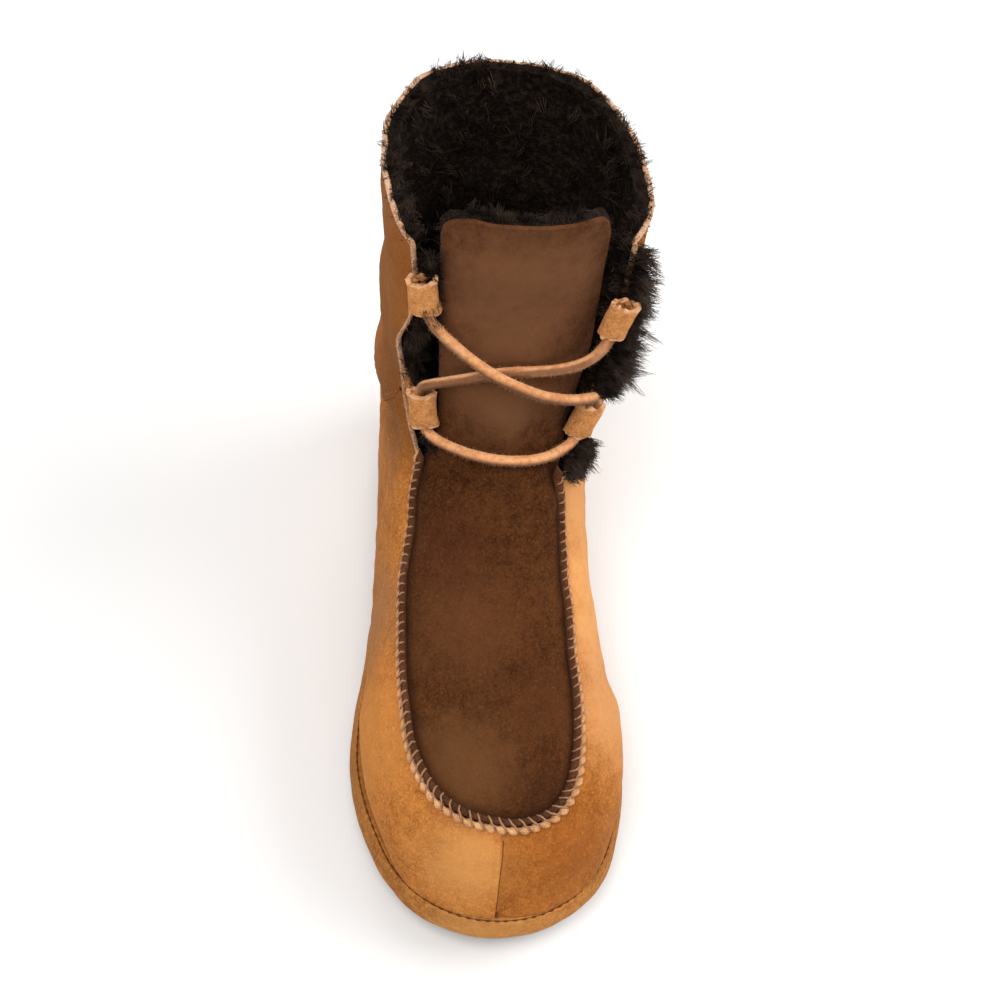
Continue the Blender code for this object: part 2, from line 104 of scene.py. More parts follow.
# ---- Outsole -------------------------------------------------------------------------
# The moulded rubber unit under the wrapped platform, in dark brown rubber with a
# fine dull skin and dust worn into its edges.
class Value:
    """A number or a colour in a finish.  Arithmetic on a number adds its maths nodes."""

    def __init__(self, socket):
        self.socket = socket

    def math(self, operation, *others):
        node = self.socket.id_data.nodes.new("ShaderNodeMath")
        node.operation = operation
        for slot, value in zip(node.inputs, (self, *others)):
            feed(slot, value)
        return Value(node.outputs[0])

    def __add__(self, other):
        return self.math("ADD", other)

    def __sub__(self, other):
        return self.math("SUBTRACT", other)

    def __rsub__(self, other):
        return (self * -1.0).math("ADD", other)

    def __mul__(self, other):
        return self.math("MULTIPLY", other)

    __radd__ = __add__
    __rmul__ = __mul__


def feed(socket, value):
    """Links a Value to a socket, or sets a plain number, vector or colour on it."""
    if isinstance(value, Value):
        socket.id_data.links.new(value.socket, socket)
    elif isinstance(value, tuple) and socket.type == "RGBA":
        socket.default_value = (*value, 1.0)
    else:
        socket.default_value = value


class Finish:
    """One material being made.  Everything is measured on the piece in metres."""

    def __init__(self, name, constant):
        self.material = bpy.data.materials.new(name)
        self.material.use_nodes = True
        self.shader = self.material.node_tree.nodes["Principled BSDF"]
        for socket, value in constant.items():
            feed(self.shader.inputs[socket], value)
        self.where = self.add("ShaderNodeTexCoord", output="Object")

    def add(self, kind, settings=None, inputs=None, output=0):
        """Adds any other node: its settings first, then what goes into its sockets."""
        node = self.material.node_tree.nodes.new(kind)
        for name, value in (settings or {}).items():
            setattr(node, name, value)
        for name, value in (inputs or {}).items():
            feed(node.inputs[name], value)
        return Value(node.outputs[output])

    def noise(self, scale, detail=3.0, rough=0.55, stretch=(1.0, 1.0, 1.0)):
        """Cloudy mottling, about scale patches to the metre."""
        at = self.add("ShaderNodeVectorMath", {"operation": "MULTIPLY"},
                      {0: self.where, 1: stretch})
        return self.add("ShaderNodeTexNoise", {}, {"Vector": at, "Scale": scale,
                                                   "Detail": detail, "Roughness": rough})

    def ramp(self, value, low, high, smooth=True):
        """0 below low, 1 above high; low may be the larger one."""
        kind = "SMOOTHSTEP" if smooth else "LINEAR"
        return self.add("ShaderNodeMapRange", {"interpolation_type": kind, "clamp": True},
                        {"Value": value, "From Min": low, "From Max": high})

    def mix(self, factor, one, two, blend="MIX"):
        """Colour one where the factor is 0, colour two where it is 1."""
        return self.add("ShaderNodeMix", {"data_type": "RGBA", "blend_type": blend},
                        {0: factor, 6: one, 7: two}, 2)

    def axis(self, name):
        """The place on the piece along X, Y or Z."""
        return self.add("ShaderNodeSeparateXYZ", {}, {0: self.where}, name)

    def painted(self, name):
        """What paint() laid on the piece under this name."""
        return self.add("ShaderNodeAttribute", {"attribute_name": name}, output="Fac")

    def near(self, x, s, z, reach):
        """1 at a place on the boot, falling to 0 at the reach, all in millimetres."""
        far = self.add("ShaderNodeVectorMath", {"operation": "DISTANCE"},
                       {0: self.where, 1: tuple(put([(x, s, z)])[0])}, "Value")
        return self.ramp(far, reach * MM, 0.0)

    def use(self, colour, height=None, depth=0.0004, rough=None, strength=1.0):
        """Gives the finish its colour and, where given, its relief and roughness."""
        feed(self.shader.inputs["Base Color"], colour)
        if rough is not None:
            feed(self.shader.inputs["Roughness"], rough)
        if height is not None:
            bump = self.add("ShaderNodeBump", {}, {"Height": height, "Distance": depth,
                                                   "Strength": strength}, "Normal")
            feed(self.shader.inputs["Normal"], bump)
        return self.material


TOE_S, HEEL_S = -1.8, 275.2      # the platform's foremost and rearmost stations
MIDDLE_S = (TOE_S + HEEL_S) / 2


def put(points):
    """Width, station and height in millimetres to the frame's metres."""
    return (np.asarray(points, float) - (0.0, MIDDLE_S, 0.0)) * MM


DUST_HIGH = 0.0022               # how far up the rubber the dust reaches

rubber = Finish("rubber", {"Roughness": 0.62})
grit = rubber.noise(900.0, 4.0)
dusty = rubber.ramp(rubber.axis("Z"), DUST_HIGH, 0.0) * rubber.ramp(rubber.noise(60.0), 0.4, 0.7)
rubber_colour = rubber.mix(grit, (0.028, 0.017, 0.012), (0.05, 0.033, 0.024))
rubber_colour = rubber.mix(dusty, rubber_colour, (0.13, 0.10, 0.08))
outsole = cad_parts["outsole"]
outsole.data.materials.clear()
outsole.data.materials.append(rubber.use(rubber_colour, grit, 0.0002))


# ---- Suede wall, quarters and shaft --------------------------------------------------
# One skin of 2 mm chestnut suede over the last, open at collar, throat and apron.
# It is lofted through the last's sections, creased where the ankle and the toes
# bend, and its openings are cut along the boot's own outlines.
SUEDE = 1.9              # thickness of the skin without its pile
COLLAR_Z = 196.0
TONGUE_Z = 208.0
SHAFT_S = 205.0          # the upright through the middle of the shaft
FINE_STEP, FINE_AROUND = ((2.6, 150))

Section = namedtuple(
    "Section", "front_s front_z back_s back_z medial lateral belly front_power back_power")
LAST = (
    Section(4.6, 27.5, 4.6, 19.0, 4.0, 4.0, 0.50, 2.0, 2.0),
    Section(5.4, 31.5, 5.4, 15.0, 10.4, 10.4, 0.50, 2.1, 2.1),
    Section(8.0, 37.6, 8.0, 11.5, 18.4, 18.4, 0.50, 2.2, 2.2),
    Section(12.0, 44.0, 12.0, 9.0, 25.8, 25.8, 0.52, 2.3, 2.3),
    Section(19.5, 51.2, 19.5, 8.0, 34.6, 34.6, 0.53, 2.4, 2.4),
    Section(30.0, 56.6, 30.0, 8.0, 41.6, 41.6, 0.55, 2.4, 2.4),
    Section(45.0, 61.8, 45.0, 8.0, 47.4, 47.6, 0.56, 2.4, 2.4),
    Section(65.0, 68.5, 65.0, 8.0, 49.2, 51.0, 0.57, 2.4, 2.4),
    Section(90.0, 76.5, 91.0, 8.0, 45.4, 49.6, 0.59, 2.4, 2.4),
    Section(113.0, 86.0, 121.0, 8.0, 42.8, 47.0, 0.60, 2.3, 2.4),
    Section(127.0, 94.5, 153.0, 8.0, 41.8, 45.2, 0.61, 2.2, 2.4),
    Section(138.0, 104.5, 190.0, 8.0, 41.6, 43.6, 0.60, 2.2, 2.4),
    Section(145.5, 116.0, 230.0, 8.0, 42.0, 43.0, 0.56, 2.5, 2.4),
    Section(150.0, 129.0, 259.0, 14.0, 43.6, 43.2, 0.51, 2.8, 2.3),
    Section(153.0, 142.0, 269.5, 38.0, 45.2, 43.6, 0.47, 3.0, 2.2),
    Section(155.0, 155.0, 270.0, 70.0, 46.6, 44.0, 0.46, 3.1, 2.2),
    Section(156.5, 168.0, 265.5, 104.0, 47.8, 44.6, 0.47, 3.1, 2.2),
    Section(157.5, 181.0, 264.5, 138.0, 48.6, 45.0, 0.48, 3.1, 2.2),
    Section(158.0, 193.0, 266.5, 170.0, 49.0, 45.4, 0.49, 3.1, 2.2),
    Section(158.5, 205.0, 269.0, 198.0, 49.2, 45.6, 0.50, 3.1, 2.2),
    Section(158.5, 216.0, 270.0, 216.0, 49.2, 45.6, 0.50, 3.1, 2.2),
)
Plan = namedtuple("Plan", "s medial lateral")
APRON_EDGE = (
    Plan(23.6, 2.6, -2.6), Plan(24.3, 8.4, 3.2), Plan(26.4, 15.0, 12.4), Plan(30.5, 20.4, 20.0),
    Plan(37.0, 24.4, 26.4), Plan(45.0, 26.6, 30.8), Plan(54.0, 27.7, 34.0), Plan(67.0, 28.2, 35.8),
    Plan(95.0, 27.4, 36.8), Plan(109.0, 26.8, 36.0), Plan(122.0, 26.3, 34.6),
    Plan(135.0, 25.2, 32.6), Plan(152.0, 23.4, 30.0), Plan(166.0, 22.0, 28.0),
    Plan(176.0, 0.0, 0.0),
)
Throat = namedtuple("Throat", "z medial lateral tongue_medial tongue_lateral")
THROAT_EDGE = (
    Throat(84.0, 22.5, 28.5, 22.2, 28.2), Throat(94.0, 23.6, 29.6, 23.0, 28.8),
    Throat(102.0, 29.2, 30.8, 24.5, 26.6), Throat(110.0, 35.4, 33.2, 27.0, 24.2),
    Throat(120.0, 38.4, 35.8, 29.4, 23.6), Throat(132.0, 39.8, 37.8, 31.4, 23.8),
    Throat(146.0, 40.4, 39.5, 32.4, 24.4), Throat(160.0, 40.8, 36.4, 32.2, 25.4),
    Throat(174.0, 41.0, 34.8, 32.0, 25.8), Throat(190.0, 41.6, 36.4, 32.0, 26.6),
    Throat(225.0, 42.0, 38.0, 32.0, 27.6),
)
Side = namedtuple("Side", "s tread platform")
SOLE_SIDE = (
    Side(-4.0, 6.2, 23.8), Side(12.0, 3.6, 22.4), Side(30.0, 1.2, 21.2), Side(48.0, 0.15, 20.6),
    Side(56.0, 0.0, 20.6), Side(116.0, 0.0, 21.4), Side(132.0, 0.9, 22.4), Side(158.0, 2.4, 24.2),
    Side(184.0, 1.2, 26.0), Side(198.0, 0.0, 27.0), Side(262.0, 0.0, 29.4), Side(278.0, 1.6, 30.0),
)
# Creases and swells of the worn suede: a line over the skin, how wide it is and how
# far it stands out (or sinks in, if negative) at its middle.
Crease = namedtuple("Crease", "width rise line")
CREASES = (
    Crease(7.0, -1.5, ((-37, 160, 104), (-43, 186, 92), (-44, 214, 84))),
    Crease(8.0, 1.2, ((-38, 158, 116), (-44, 190, 106), (-43, 224, 98))),
    Crease(6.0, -1.0, ((-40, 168, 132), (-44, 196, 124), (-41, 232, 118))),
    Crease(7.0, -1.5, ((36, 162, 104), (43, 186, 94), (43, 214, 86))),
    Crease(8.0, 1.1, ((38, 160, 117), (45, 192, 108), (43, 226, 99))),
    Crease(6.0, -1.0, ((43, 172, 136), (47, 200, 128), (42, 234, 120))),
    Crease(7.0, -1.4, ((-36, 244, 108), (0, 267, 102), (36, 244, 108))),
    Crease(8.0, 1.0, ((-38, 240, 122), (0, 264, 118), (38, 240, 122))),
    Crease(7.0, -0.9, ((-38, 240, 146), (0, 265, 150), (38, 240, 145))),
    Crease(9.0, 1.0, ((-41, 226, 60), (0, 271, 58), (41, 226, 60))),
    Crease(6.0, -1.0, ((-49, 84, 58), (-50, 92, 44), (-49, 98, 32))),
    Crease(7.0, 0.8, ((-49, 70, 58), (-51, 74, 44), (-50, 78, 32))),
    Crease(6.0, -0.8, ((-46, 112, 66), (-48, 122, 50), (-47, 128, 36))),
    Crease(6.0, -0.7, ((47, 82, 58), (47, 90, 44), (46, 96, 32))),
    Crease(7.0, 0.2, ((48, 56, 56), (50, 60, 44), (49, 64, 32))),
    Crease(5.0, -0.9, ((-36, 30, 50), (-34, 18, 42), (-30, 9, 32))),
    Crease(5.0, -0.8, ((33, 28, 50), (31, 17, 42), (27, 9, 32))),
    Crease(6.0, 0.8, ((-20, 18, 50), (-18, 10, 42), (-16, 6, 32))),
    Crease(6.0, 0.8, ((18, 18, 50), (17, 10, 42), (15, 6, 32))),
    Crease(4.0, -0.7, ((-1.4, 22, 53), (-2.0, 11, 43), (-2.8, 5, 30))),
    Crease(5.0, -1.3, ((-30, 150, 101), (0, 135, 101), (26, 148, 101))),
    Crease(7.0, 0.9, ((-28, 140, 92), (0, 125, 93), (26, 138, 92))),
    Crease(9.0, -0.8, ((-30, 92, 70), (0, 94, 78), (26, 90, 71))),
    Crease(10.0, 0.7, ((-30, 62, 62), (-4, 58, 66), (24, 62, 63))),
    Crease(6.0, -0.7, ((-22, 158, 146), (0, 154, 142), (26, 160, 146))),
    Crease(9.0, -0.9, ((-44, 200, 170), (-44, 226, 150), (-38, 246, 120))),
    Crease(9.0, 0.9, ((47, 196, 168), (47, 222, 150), (39, 246, 128))),
)
ANKLE_S = 120.0          # creases behind this are worn in deeper
CREASED_ANKLE, CREASED_TOE = 2.1, 1.2
CREASE_STEPS = 8         # straight lengths that a crease is followed in
# Beside the apron's seam the wall swells a little, and right at it is drawn in.
SWELL, SWELL_AWAY, SWELL_WIDE, DRAWN_WIDE = 0.9, 10.0, 6.0, 3.5
TOE_FULL = 2.7           # how far the foot of the toe is filled out over the platform
SEAM_END_LATERAL, SEAM_END_MEDIAL = 154.5, 148.0


def curve_through(keys, rows, at):
    """Values at 'at' on a smooth curve through rows that stand at keys."""
    keys = np.asarray(keys, float)
    rows = np.asarray(rows, float)
    slopes = np.gradient(rows, keys, axis=0)
    at = np.clip(np.asarray(at, float), keys[0], keys[-1])
    i = np.clip(np.searchsorted(keys, at, side="right") - 1, 0, len(keys) - 2)
    width = keys[i + 1] - keys[i]
    t = (at - keys[i]) / width
    shape = (-1,) + (1,) * (rows.ndim - 1)
    t, width = t.reshape(shape), width.reshape(shape)
    start, end = rows[i], rows[i + 1]
    return ((2 * t**3 - 3 * t**2 + 1) * start + (t**3 - 2 * t**2 + t) * width * slopes[i]
            + (3 * t**2 - 2 * t**3) * end + (t**3 - t**2) * width * slopes[i + 1])


def column(table, name):
    """One named column of a table."""
    return [getattr(row, name) for row in table]


def lengths(points):
    """How far along a line each of its points lies."""
    return np.concatenate([[0], np.cumsum(np.linalg.norm(np.diff(points, axis=0), axis=1))])


def smooth_step(value, low, high):
    """0 at low, 1 at high, with an easy start and end; low may be the larger one."""
    t = np.clip((value - low) / (high - low), 0, 1)
    return t * t * (3 - 2 * t)


def circle(count):
    """Angles spread evenly round a circle."""
    return 2 * np.pi * np.arange(count) / count


def last_skin():
    """The skin over the last as a grid of places, and its outward normals."""
    rows = np.array([list(row) for row in LAST])
    travel = [0.0]
    for one, two in zip(LAST, LAST[1:]):
        front = math.hypot(two.front_s - one.front_s, two.front_z - one.front_z)
        back = math.hypot(two.back_s - one.back_s, two.back_z - one.back_z)
        travel.append(travel[-1] + max(front, back, 3.0))
    at = np.linspace(0, travel[-1], int(travel[-1] / FINE_STEP) + 1)
    turn = circle(FINE_AROUND)
    side, ahead = np.sin(turn), np.cos(turn)
    grid = []
    for front_s, front_z, back_s, back_z, medial, lateral, belly, front_n, back_n in \
            curve_through(travel, rows, at):
        power = np.where(ahead > 0, 2 / front_n, 2 / back_n)
        x = np.sign(side) * np.where(side > 0, medial, lateral) * np.abs(side) ** power
        u = np.where(ahead > 0, belly * (1 - np.abs(ahead) ** power),
                     belly + (1 - belly) * np.abs(ahead) ** power)
        grid.append(np.stack([x, front_s + u * (back_s - front_s),
                              front_z + u * (back_z - front_z)], axis=1))
    grid = np.array(grid)
    along = np.gradient(grid, axis=0)
    around = np.roll(grid, -1, axis=1) - np.roll(grid, 1, axis=1)
    normal = np.cross(around, along)
    return grid, normal / np.linalg.norm(normal, axis=2, keepdims=True)


def crease_rise(points):
    """How far the worn suede stands out at each point, in millimetres."""
    rise = np.zeros(len(points))
    for crease in CREASES:
        line = curve_through([0, 1, 2], crease.line, np.linspace(0, 2, CREASE_STEPS + 1))
        nearest = np.full(len(points), 1e9)
        along = np.zeros(len(points))
        for number, (one, two) in enumerate(zip(line, line[1:])):
            span = two - one
            t = np.clip((points - one) @ span / (span @ span), 0, 1)
            far = np.linalg.norm(points - one - t[:, None] * span, axis=1)
            closer = far < nearest
            nearest[closer] = far[closer]
            along[closer] = (number + t[closer]) / CREASE_STEPS
        fade = np.sin(np.pi * np.clip(along, 0.02, 0.98)) ** 0.6
        rise += crease.rise * fade * np.exp(-(nearest / crease.width) ** 2)
    return rise * np.where(points[:, 1] > ANKLE_S, CREASED_ANKLE, CREASED_TOE)


def pick(piece):
    """Makes a piece the only one that operators act on."""
    bpy.ops.object.select_all(action="DESELECT")
    piece.select_set(True)
    bpy.context.view_layer.objects.active = piece


def tidy_mesh(piece, sharp=38.0):
    """Normals outwards, smooth shading with sharp edges left sharp."""
    pick(piece)
    bpy.ops.object.mode_set(mode="EDIT")
    bpy.ops.mesh.select_all(action="SELECT")
    bpy.ops.mesh.normals_make_consistent(inside=False)
    bpy.ops.object.mode_set(mode="OBJECT")
    bpy.ops.object.shade_smooth_by_angle(angle=math.radians(sharp))
    piece.select_set(False)


def new_piece(name, points, faces, finish=None):
    """An object of the boot from places in millimetres."""
    mesh = bpy.data.meshes.new(name)
    mesh.from_pydata(put(points).tolist(), [], faces)
    mesh.update()
    piece = bpy.data.objects.new(name, mesh)
    bpy.context.scene.collection.objects.link(piece)
    if finish is not None:
        mesh.materials.append(finish)
    return piece


def grid_faces(rows, count):
    """Quads of a grid of rings with count points each."""
    return [(i * count + j, i * count + (j + 1) % count,
             (i + 1) * count + (j + 1) % count, (i + 1) * count + j)
            for i in range(rows - 1) for j in range(count)]


def closed_form(name, grid):
    """A closed body through a grid of rings, with both ends shut by fans."""
    rows, count = grid.shape[:2]
    points = np.vstack([grid.reshape(-1, 3), grid[0].mean(0), grid[-1].mean(0)])
    faces = grid_faces(rows, count)
    first, last = rows * count, rows * count + 1
    faces += [((j + 1) % count, j, first) for j in range(count)]
    base = (rows - 1) * count
    faces += [(base + j, base + (j + 1) % count, last) for j in range(count)]
    return new_piece(name, points, faces)


def paint(piece, name, values):
    """Lays a number on each point of a piece for its finish to read."""
    layer = piece.data.attributes.new(name, "FLOAT", "POINT")
    layer.data.foreach_set("value", values)


def prism(name, outline, across, low, high):
    """A closed prism: an outline in two of x, s and z pushed along the third."""
    order = {"xs": (0, 1, 2), "sz": (1, 2, 0), "xz": (0, 2, 1)}[across]
    points = []
    for far in (low, high):
        for a, b in outline:
            point = [0.0, 0.0, 0.0]
            point[order[0]], point[order[1]], point[order[2]] = a, b, far
            points.append(point)
    n = len(outline)
    faces = [tuple(range(n))[::-1], tuple(range(n, 2 * n))]
    faces += [(j, (j + 1) % n, n + (j + 1) % n, n + j) for j in range(n)]
    made = new_piece(name, points, faces)
    tidy_mesh(made)
    return made


def cut(piece, *tools, operation="DIFFERENCE"):
    """Cuts a piece with closed tools, one after another, and removes the tools."""
    bpy.context.view_layer.objects.active = piece
    for tool in tools:
        change = piece.modifiers.new(tool.name, "BOOLEAN")
        change.operation = operation
        change.solver = "EXACT"
        change.object = tool
        bpy.ops.object.modifier_apply(modifier=change.name)
        bpy.data.objects.remove(tool, do_unlink=True)


def plan_outline(table, inset, points):
    """A closed plan outline through a table of half widths, moved in by inset."""
    edge = [(row.medial, row.s) for row in table]
    edge += [(-row.lateral, row.s) for row in reversed(table[1:-1])]
    edge = np.array(edge, float)
    loop = np.vstack([edge, edge[:1]])
    key = lengths(loop)
    long = np.vstack([loop[-3:-1], loop, loop[1:3]])
    long_key = np.concatenate([key[-3:-1] - key[-1], key, key[-1] + key[1:3]])
    line = curve_through(long_key, long, np.linspace(0, key[-1], points, endpoint=False))
    ahead = np.roll(line, -1, axis=0) - np.roll(line, 1, axis=0)
    inward = np.stack([-ahead[:, 1], ahead[:, 0]], axis=1)
    inward /= np.linalg.norm(inward, axis=1, keepdims=True)
    return line + inward * inset


def side_height(name, s):
    """How high the tread or the platform's top lies above the floor at a station."""
    return curve_through(column(SOLE_SIDE, "s"), column(SOLE_SIDE, name), np.atleast_1d(s))


PAST_SIDES = 80.0        # half width of a tool that cuts right through the boot


def seat_tool(lift):
    """Everything under the top of the platform, raised by lift."""
    toe, heel, under = SOLE_SIDE[0].s, SOLE_SIDE[-1].s, -20.0
    s = np.linspace(toe, heel, 60)
    top = list(zip(s, side_height("platform", s) + lift))
    return prism("seat", [(toe, under)] + top + [(heel, under)], "sz", -PAST_SIDES, PAST_SIDES)


COLLAR_FROM, COLLAR_TO = 120.0, 285.0
COLLAR_DROP, COLLAR_RISE = 3.0, 5.0


def collar_height(s):
    """The collar's edge rises a little to the back and waves a little along the way."""
    back = (s - COLLAR_FROM) / (COLLAR_TO - COLLAR_FROM)
    waves = 0.9 * np.sin(s * 0.075) - 0.5 * np.sin(s * 0.19)
    return COLLAR_Z - COLLAR_DROP + COLLAR_RISE * back + waves


def collar_tool(lift):
    """Everything above the collar."""
    s = np.linspace(COLLAR_FROM, COLLAR_TO, 24)
    top = list(zip(s, collar_height(s) + lift))
    over = [(COLLAR_TO, 260.0), (COLLAR_FROM, 260.0)]
    return prism("above", top + over, "sz", -PAST_SIDES, PAST_SIDES)


APRON_TOOL_LOW, APRON_TOOL_HIGH = 44.0, 99.0
THROAT_TOOL_FRONT, THROAT_TOOL_BACK, TONGUE_TOOL_BACK = 100.0, 205.0, 178.0
TONGUE_CORNER = 12.0     # radius of the tongue's top corners


def opening_tool(shrink, tongue=False):
    """Apron and throat as one prism tool, smaller by shrink."""
    apron = prism("apron_tool", plan_outline(APRON_EDGE, shrink, 120).tolist(), "xs",
                  APRON_TOOL_LOW, APRON_TOOL_HIGH)
    top = TONGUE_Z - TONGUE_CORNER if tongue else THROAT_EDGE[-1].z
    heights = np.linspace(THROAT_EDGE[0].z, top, 40)
    sides = []
    for side, sign in (("medial", 1), ("lateral", -1)):
        which = "tongue_" + side if tongue else side
        widths = curve_through(column(THROAT_EDGE, "z"), column(THROAT_EDGE, which),
                               heights) - shrink
        line = [(sign * w, z) for w, z in zip(widths, heights)]
        if tongue:
            for turn in np.radians(np.arange(10.0, 91.0, 10.0)):
                line.append((sign * (widths[-1] - TONGUE_CORNER * (1 - math.cos(turn))),
                             top + TONGUE_CORNER * math.sin(turn)))
        sides += line if sign > 0 else line[::-1]
    back = TONGUE_TOOL_BACK if tongue else THROAT_TOOL_BACK
    cut(apron, prism("throat_tool", sides, "xz", THROAT_TOOL_FRONT, back), operation="UNION")
    return apron


def fill_grid(grid):
    """A tree of the skin's faces, shut at the toe's tip, that rays can be cast on."""
    rows, count = grid.shape[:2]
    points = np.vstack([grid.reshape(-1, 3), grid[0].mean(0)])
    tip = [((j + 1) % count, j, rows * count) for j in range(count)]
    return BVHTree.FromPolygons(points.tolist(), grid_faces(rows, count) + tip)


def cast(tree, start, ahead):
    """Where a ray first meets the skin, and the skin's outward normal there."""
    place, normal, _, _ = tree.ray_cast(Vector(start), Vector(ahead).normalized())
    if normal.dot(Vector(ahead)) > 0:
        normal = -normal
    return np.array(place), np.array(normal)


def points_at(at, key, points):
    """Points of a line at some lengths along it; its own points lie at the key lengths."""
    return np.stack([np.interp(at, key, values) for values in points.T], axis=1)


def even(points, spacing):
    """The same line with its points the same distance apart."""
    points = np.asarray(points, float)
    key = lengths(points)
    at = np.linspace(0, key[-1], max(2, round(key[-1] / spacing) + 1))
    return points_at(at, key, points)


def soften(values, times):
    """Evens a row of values out, with its two ends held."""
    for _ in range(times):
        values[1:-1] = (values[:-2] + 2 * values[1:-1] + values[2:]) / 4
    return values


ABOVE_BOOT = 300.0

skin, skin_out = last_skin()
plain_skin = fill_grid(skin)

# The apron's seam runs from the lateral side of the throat round the toe to the other.
outline = plan_outline(APRON_EDGE, 0.0, 1500)
outline = np.roll(outline, -int(outline[:, 1].argmax()), axis=0)
seam_end = np.where(outline[:, 0] < 0, SEAM_END_LATERAL, SEAM_END_MEDIAL)
outline = outline[outline[:, 1] < seam_end]
seam = [np.hstack(cast(plain_skin, (x, s, ABOVE_BOOT), (0, 0, -1))) for x, s in outline]
seam = soften(even(seam, 0.5), 40)
near_seam = KDTree(len(seam))
for number, stitch in enumerate(seam[:, :3]):
    near_seam.insert(stitch, number)
near_seam.balance()

flat_plain = skin.reshape(-1, 3)
from_seam = np.array([near_seam.find(p)[2] for p in flat_plain])
rise = crease_rise(flat_plain)
rise += SWELL * np.exp(-((from_seam - SWELL_AWAY) / SWELL_WIDE) ** 2)
rise -= SWELL * np.exp(-(from_seam / DRAWN_WIDE) ** 2)
toe_foot = smooth_step(flat_plain[:, 2], 34.0, 22.0) * smooth_step(flat_plain[:, 1], 40.0, 14.0)
rise += TOE_FULL * toe_foot
ripple = [noise.noise(Vector(p) * 0.045) * 1.3 + noise.noise(Vector(p) * 0.11) * 0.5
          for p in flat_plain]
rise += np.array(ripple) * smooth_step(flat_plain[:, 2], 22.0, 40.0)
worn_skin = skin + skin_out * rise.reshape(skin.shape[:2])[..., None]
worn = fill_grid(worn_skin)


# A patch laid on a finish, some of wear or soil, some of painted light or shade: its middle, how
# far it reaches, its shade and strength.
Mark = namedtuple("Mark", "x s z reach shade strength")
WALL_MARKS = (
    Mark(-16, 13, 44, 30, (0.66, 0.30, 0.090), 0.75),      # toe, lateral half: brushed pale, and painted light
    # medial toe: painted shade
    Mark(24, 20, 44, 24, (0.40, 0.13, 0.028), 0.6),
    Mark(-47, 64, 50, 40, (0.62, 0.25, 0.062), 0.6),
    Mark(36, 148, 84, 46, (0.78, 0.38, 0.15), 0.75),       # medial side, painted highlight
    Mark(40, 112, 60, 46, (0.84, 0.40, 0.145), 0.85),
    Mark(42, 76, 52, 46, (0.72, 0.345, 0.14), 0.7),
    Mark(-43, 180, 88, 34, (0.24, 0.090, 0.028), 0.7),     # lateral side: grey-brown stain, and painted shade
    Mark(-38, 150, 96, 30, (0.62, 0.25, 0.07), 0.1),
    Mark(-45, 112, 58, 38, (0.33, 0.15, 0.064), 0.75),
    Mark(-42, 176, 120, 54, (0.15, 0.052, 0.014), 0.85),
    Mark(-46, 150, 40, 40, (0.34, 0.13, 0.035), 0.5),
    Mark(44, 196, 130, 40, (0.27, 0.10, 0.03), 0.5),       # shaft and heel
    Mark(0, 272, 70, 46, (0.28, 0.10, 0.03), 0.5),
    Mark(24, 255, 150, 46, (0.60, 0.27, 0.09), 0.45),
    Mark(-30, 250, 160, 40, (0.26, 0.10, 0.03), 0.4),
    Mark(40, 230, 60, 40, (0.60, 0.28, 0.10), 0.4),
)


def suede(name, light, dark, grain=1.0, marks=(), tint=(0.9, 0.55, 0.3), painted_glint_amount=0.5):
    """Napped suede: fine fibre, brushed patches, painted glints of light on the nap, and marks at
    given places, some of wear or soil and some of painted light or shade.
    """
    made = Finish(name, {"Roughness": 0.95, "Specular IOR Level": 0.06, "Sheen Weight": 0.08,
                         "Sheen Roughness": 0.45, "Sheen Tint": tint})
    fibre = made.noise(1100.0 / grain, 3.0, 0.75)
    nap = made.noise(260.0, 5.0, 0.75, (1.0, 0.6, 1.0))
    brushed = made.noise(34.0, 4.0, 0.6, (1.0, 0.8, 1.2))
    tone = made.ramp(fibre * 0.40 + nap * 0.34 + brushed * 0.26, 0.41, 0.59, False)
    colour = made.mix(tone, dark, light)
    uneven = made.noise(60.0, 5.0, 0.75) * 0.9
    for mark in marks:
        edge = made.near(mark.x, mark.s, mark.z, mark.reach * 1.25) * 0.9 + uneven - 0.65
        colour = made.mix(made.ramp(edge, 0.0, 0.75) * mark.strength, colour, mark.shade)
    # Painted highlight: fine specks of the nap are painted paler, as glints of light.
    painted_glint = made.ramp(made.noise(1000.0, 2.0, 0.6), 0.56, 0.76) * painted_glint_amount
    pale = tuple(min(1.0, c * 1.35 + 0.012) for c in light)
    colour = made.mix(painted_glint, colour, pale)
    return made, colour, fibre * 0.5 + nap * 0.5


chestnut, chestnut_colour, chestnut_nap = suede(
    "chestnut_suede", (0.60, 0.225, 0.050), (0.29, 0.094, 0.018), painted_glint_amount=0.7, marks=WALL_MARKS)
across_boot = chestnut.axis("X")
lateral_half = chestnut.ramp(across_boot, 0.0, -0.03)
# Partly a real darkening of the worn shaft, partly painted shade: the wall is painted darker
# higher up, more so on the lateral side.
shaft_stain_and_shade = chestnut.ramp(chestnut.axis("Z"), 0.075, 0.14) * (lateral_half * 0.3 + 0.45)
chestnut_colour = chestnut.mix(shaft_stain_and_shade, chestnut_colour, (0.20, 0.063, 0.013))
# Painted shade: the medial half of the toe is multiplied darker, as if the light fell from the
# lateral side.
medial_toe_shade = (chestnut.ramp(across_boot, -0.0029, -0.0017)
              * chestnut.ramp(chestnut.axis("Y"), -0.075, -0.11)
              * chestnut.ramp(across_boot, 0.050, 0.026))
chestnut_colour = chestnut.mix(medial_toe_shade, chestnut_colour, (0.76, 0.69, 0.60), "MULTIPLY")
painted_hole_shade = chestnut.near(-37.2, 167.9, 123.7, 1.6)             # painted shade of a small hole by a loop
chestnut_colour = chestnut.mix(chestnut.ramp(painted_hole_shade, 0.3, 0.6), chestnut_colour,
                               (0.03, 0.010, 0.004))
chestnut.use(chestnut_colour, chestnut_nap, 0.00055, strength=0.8)

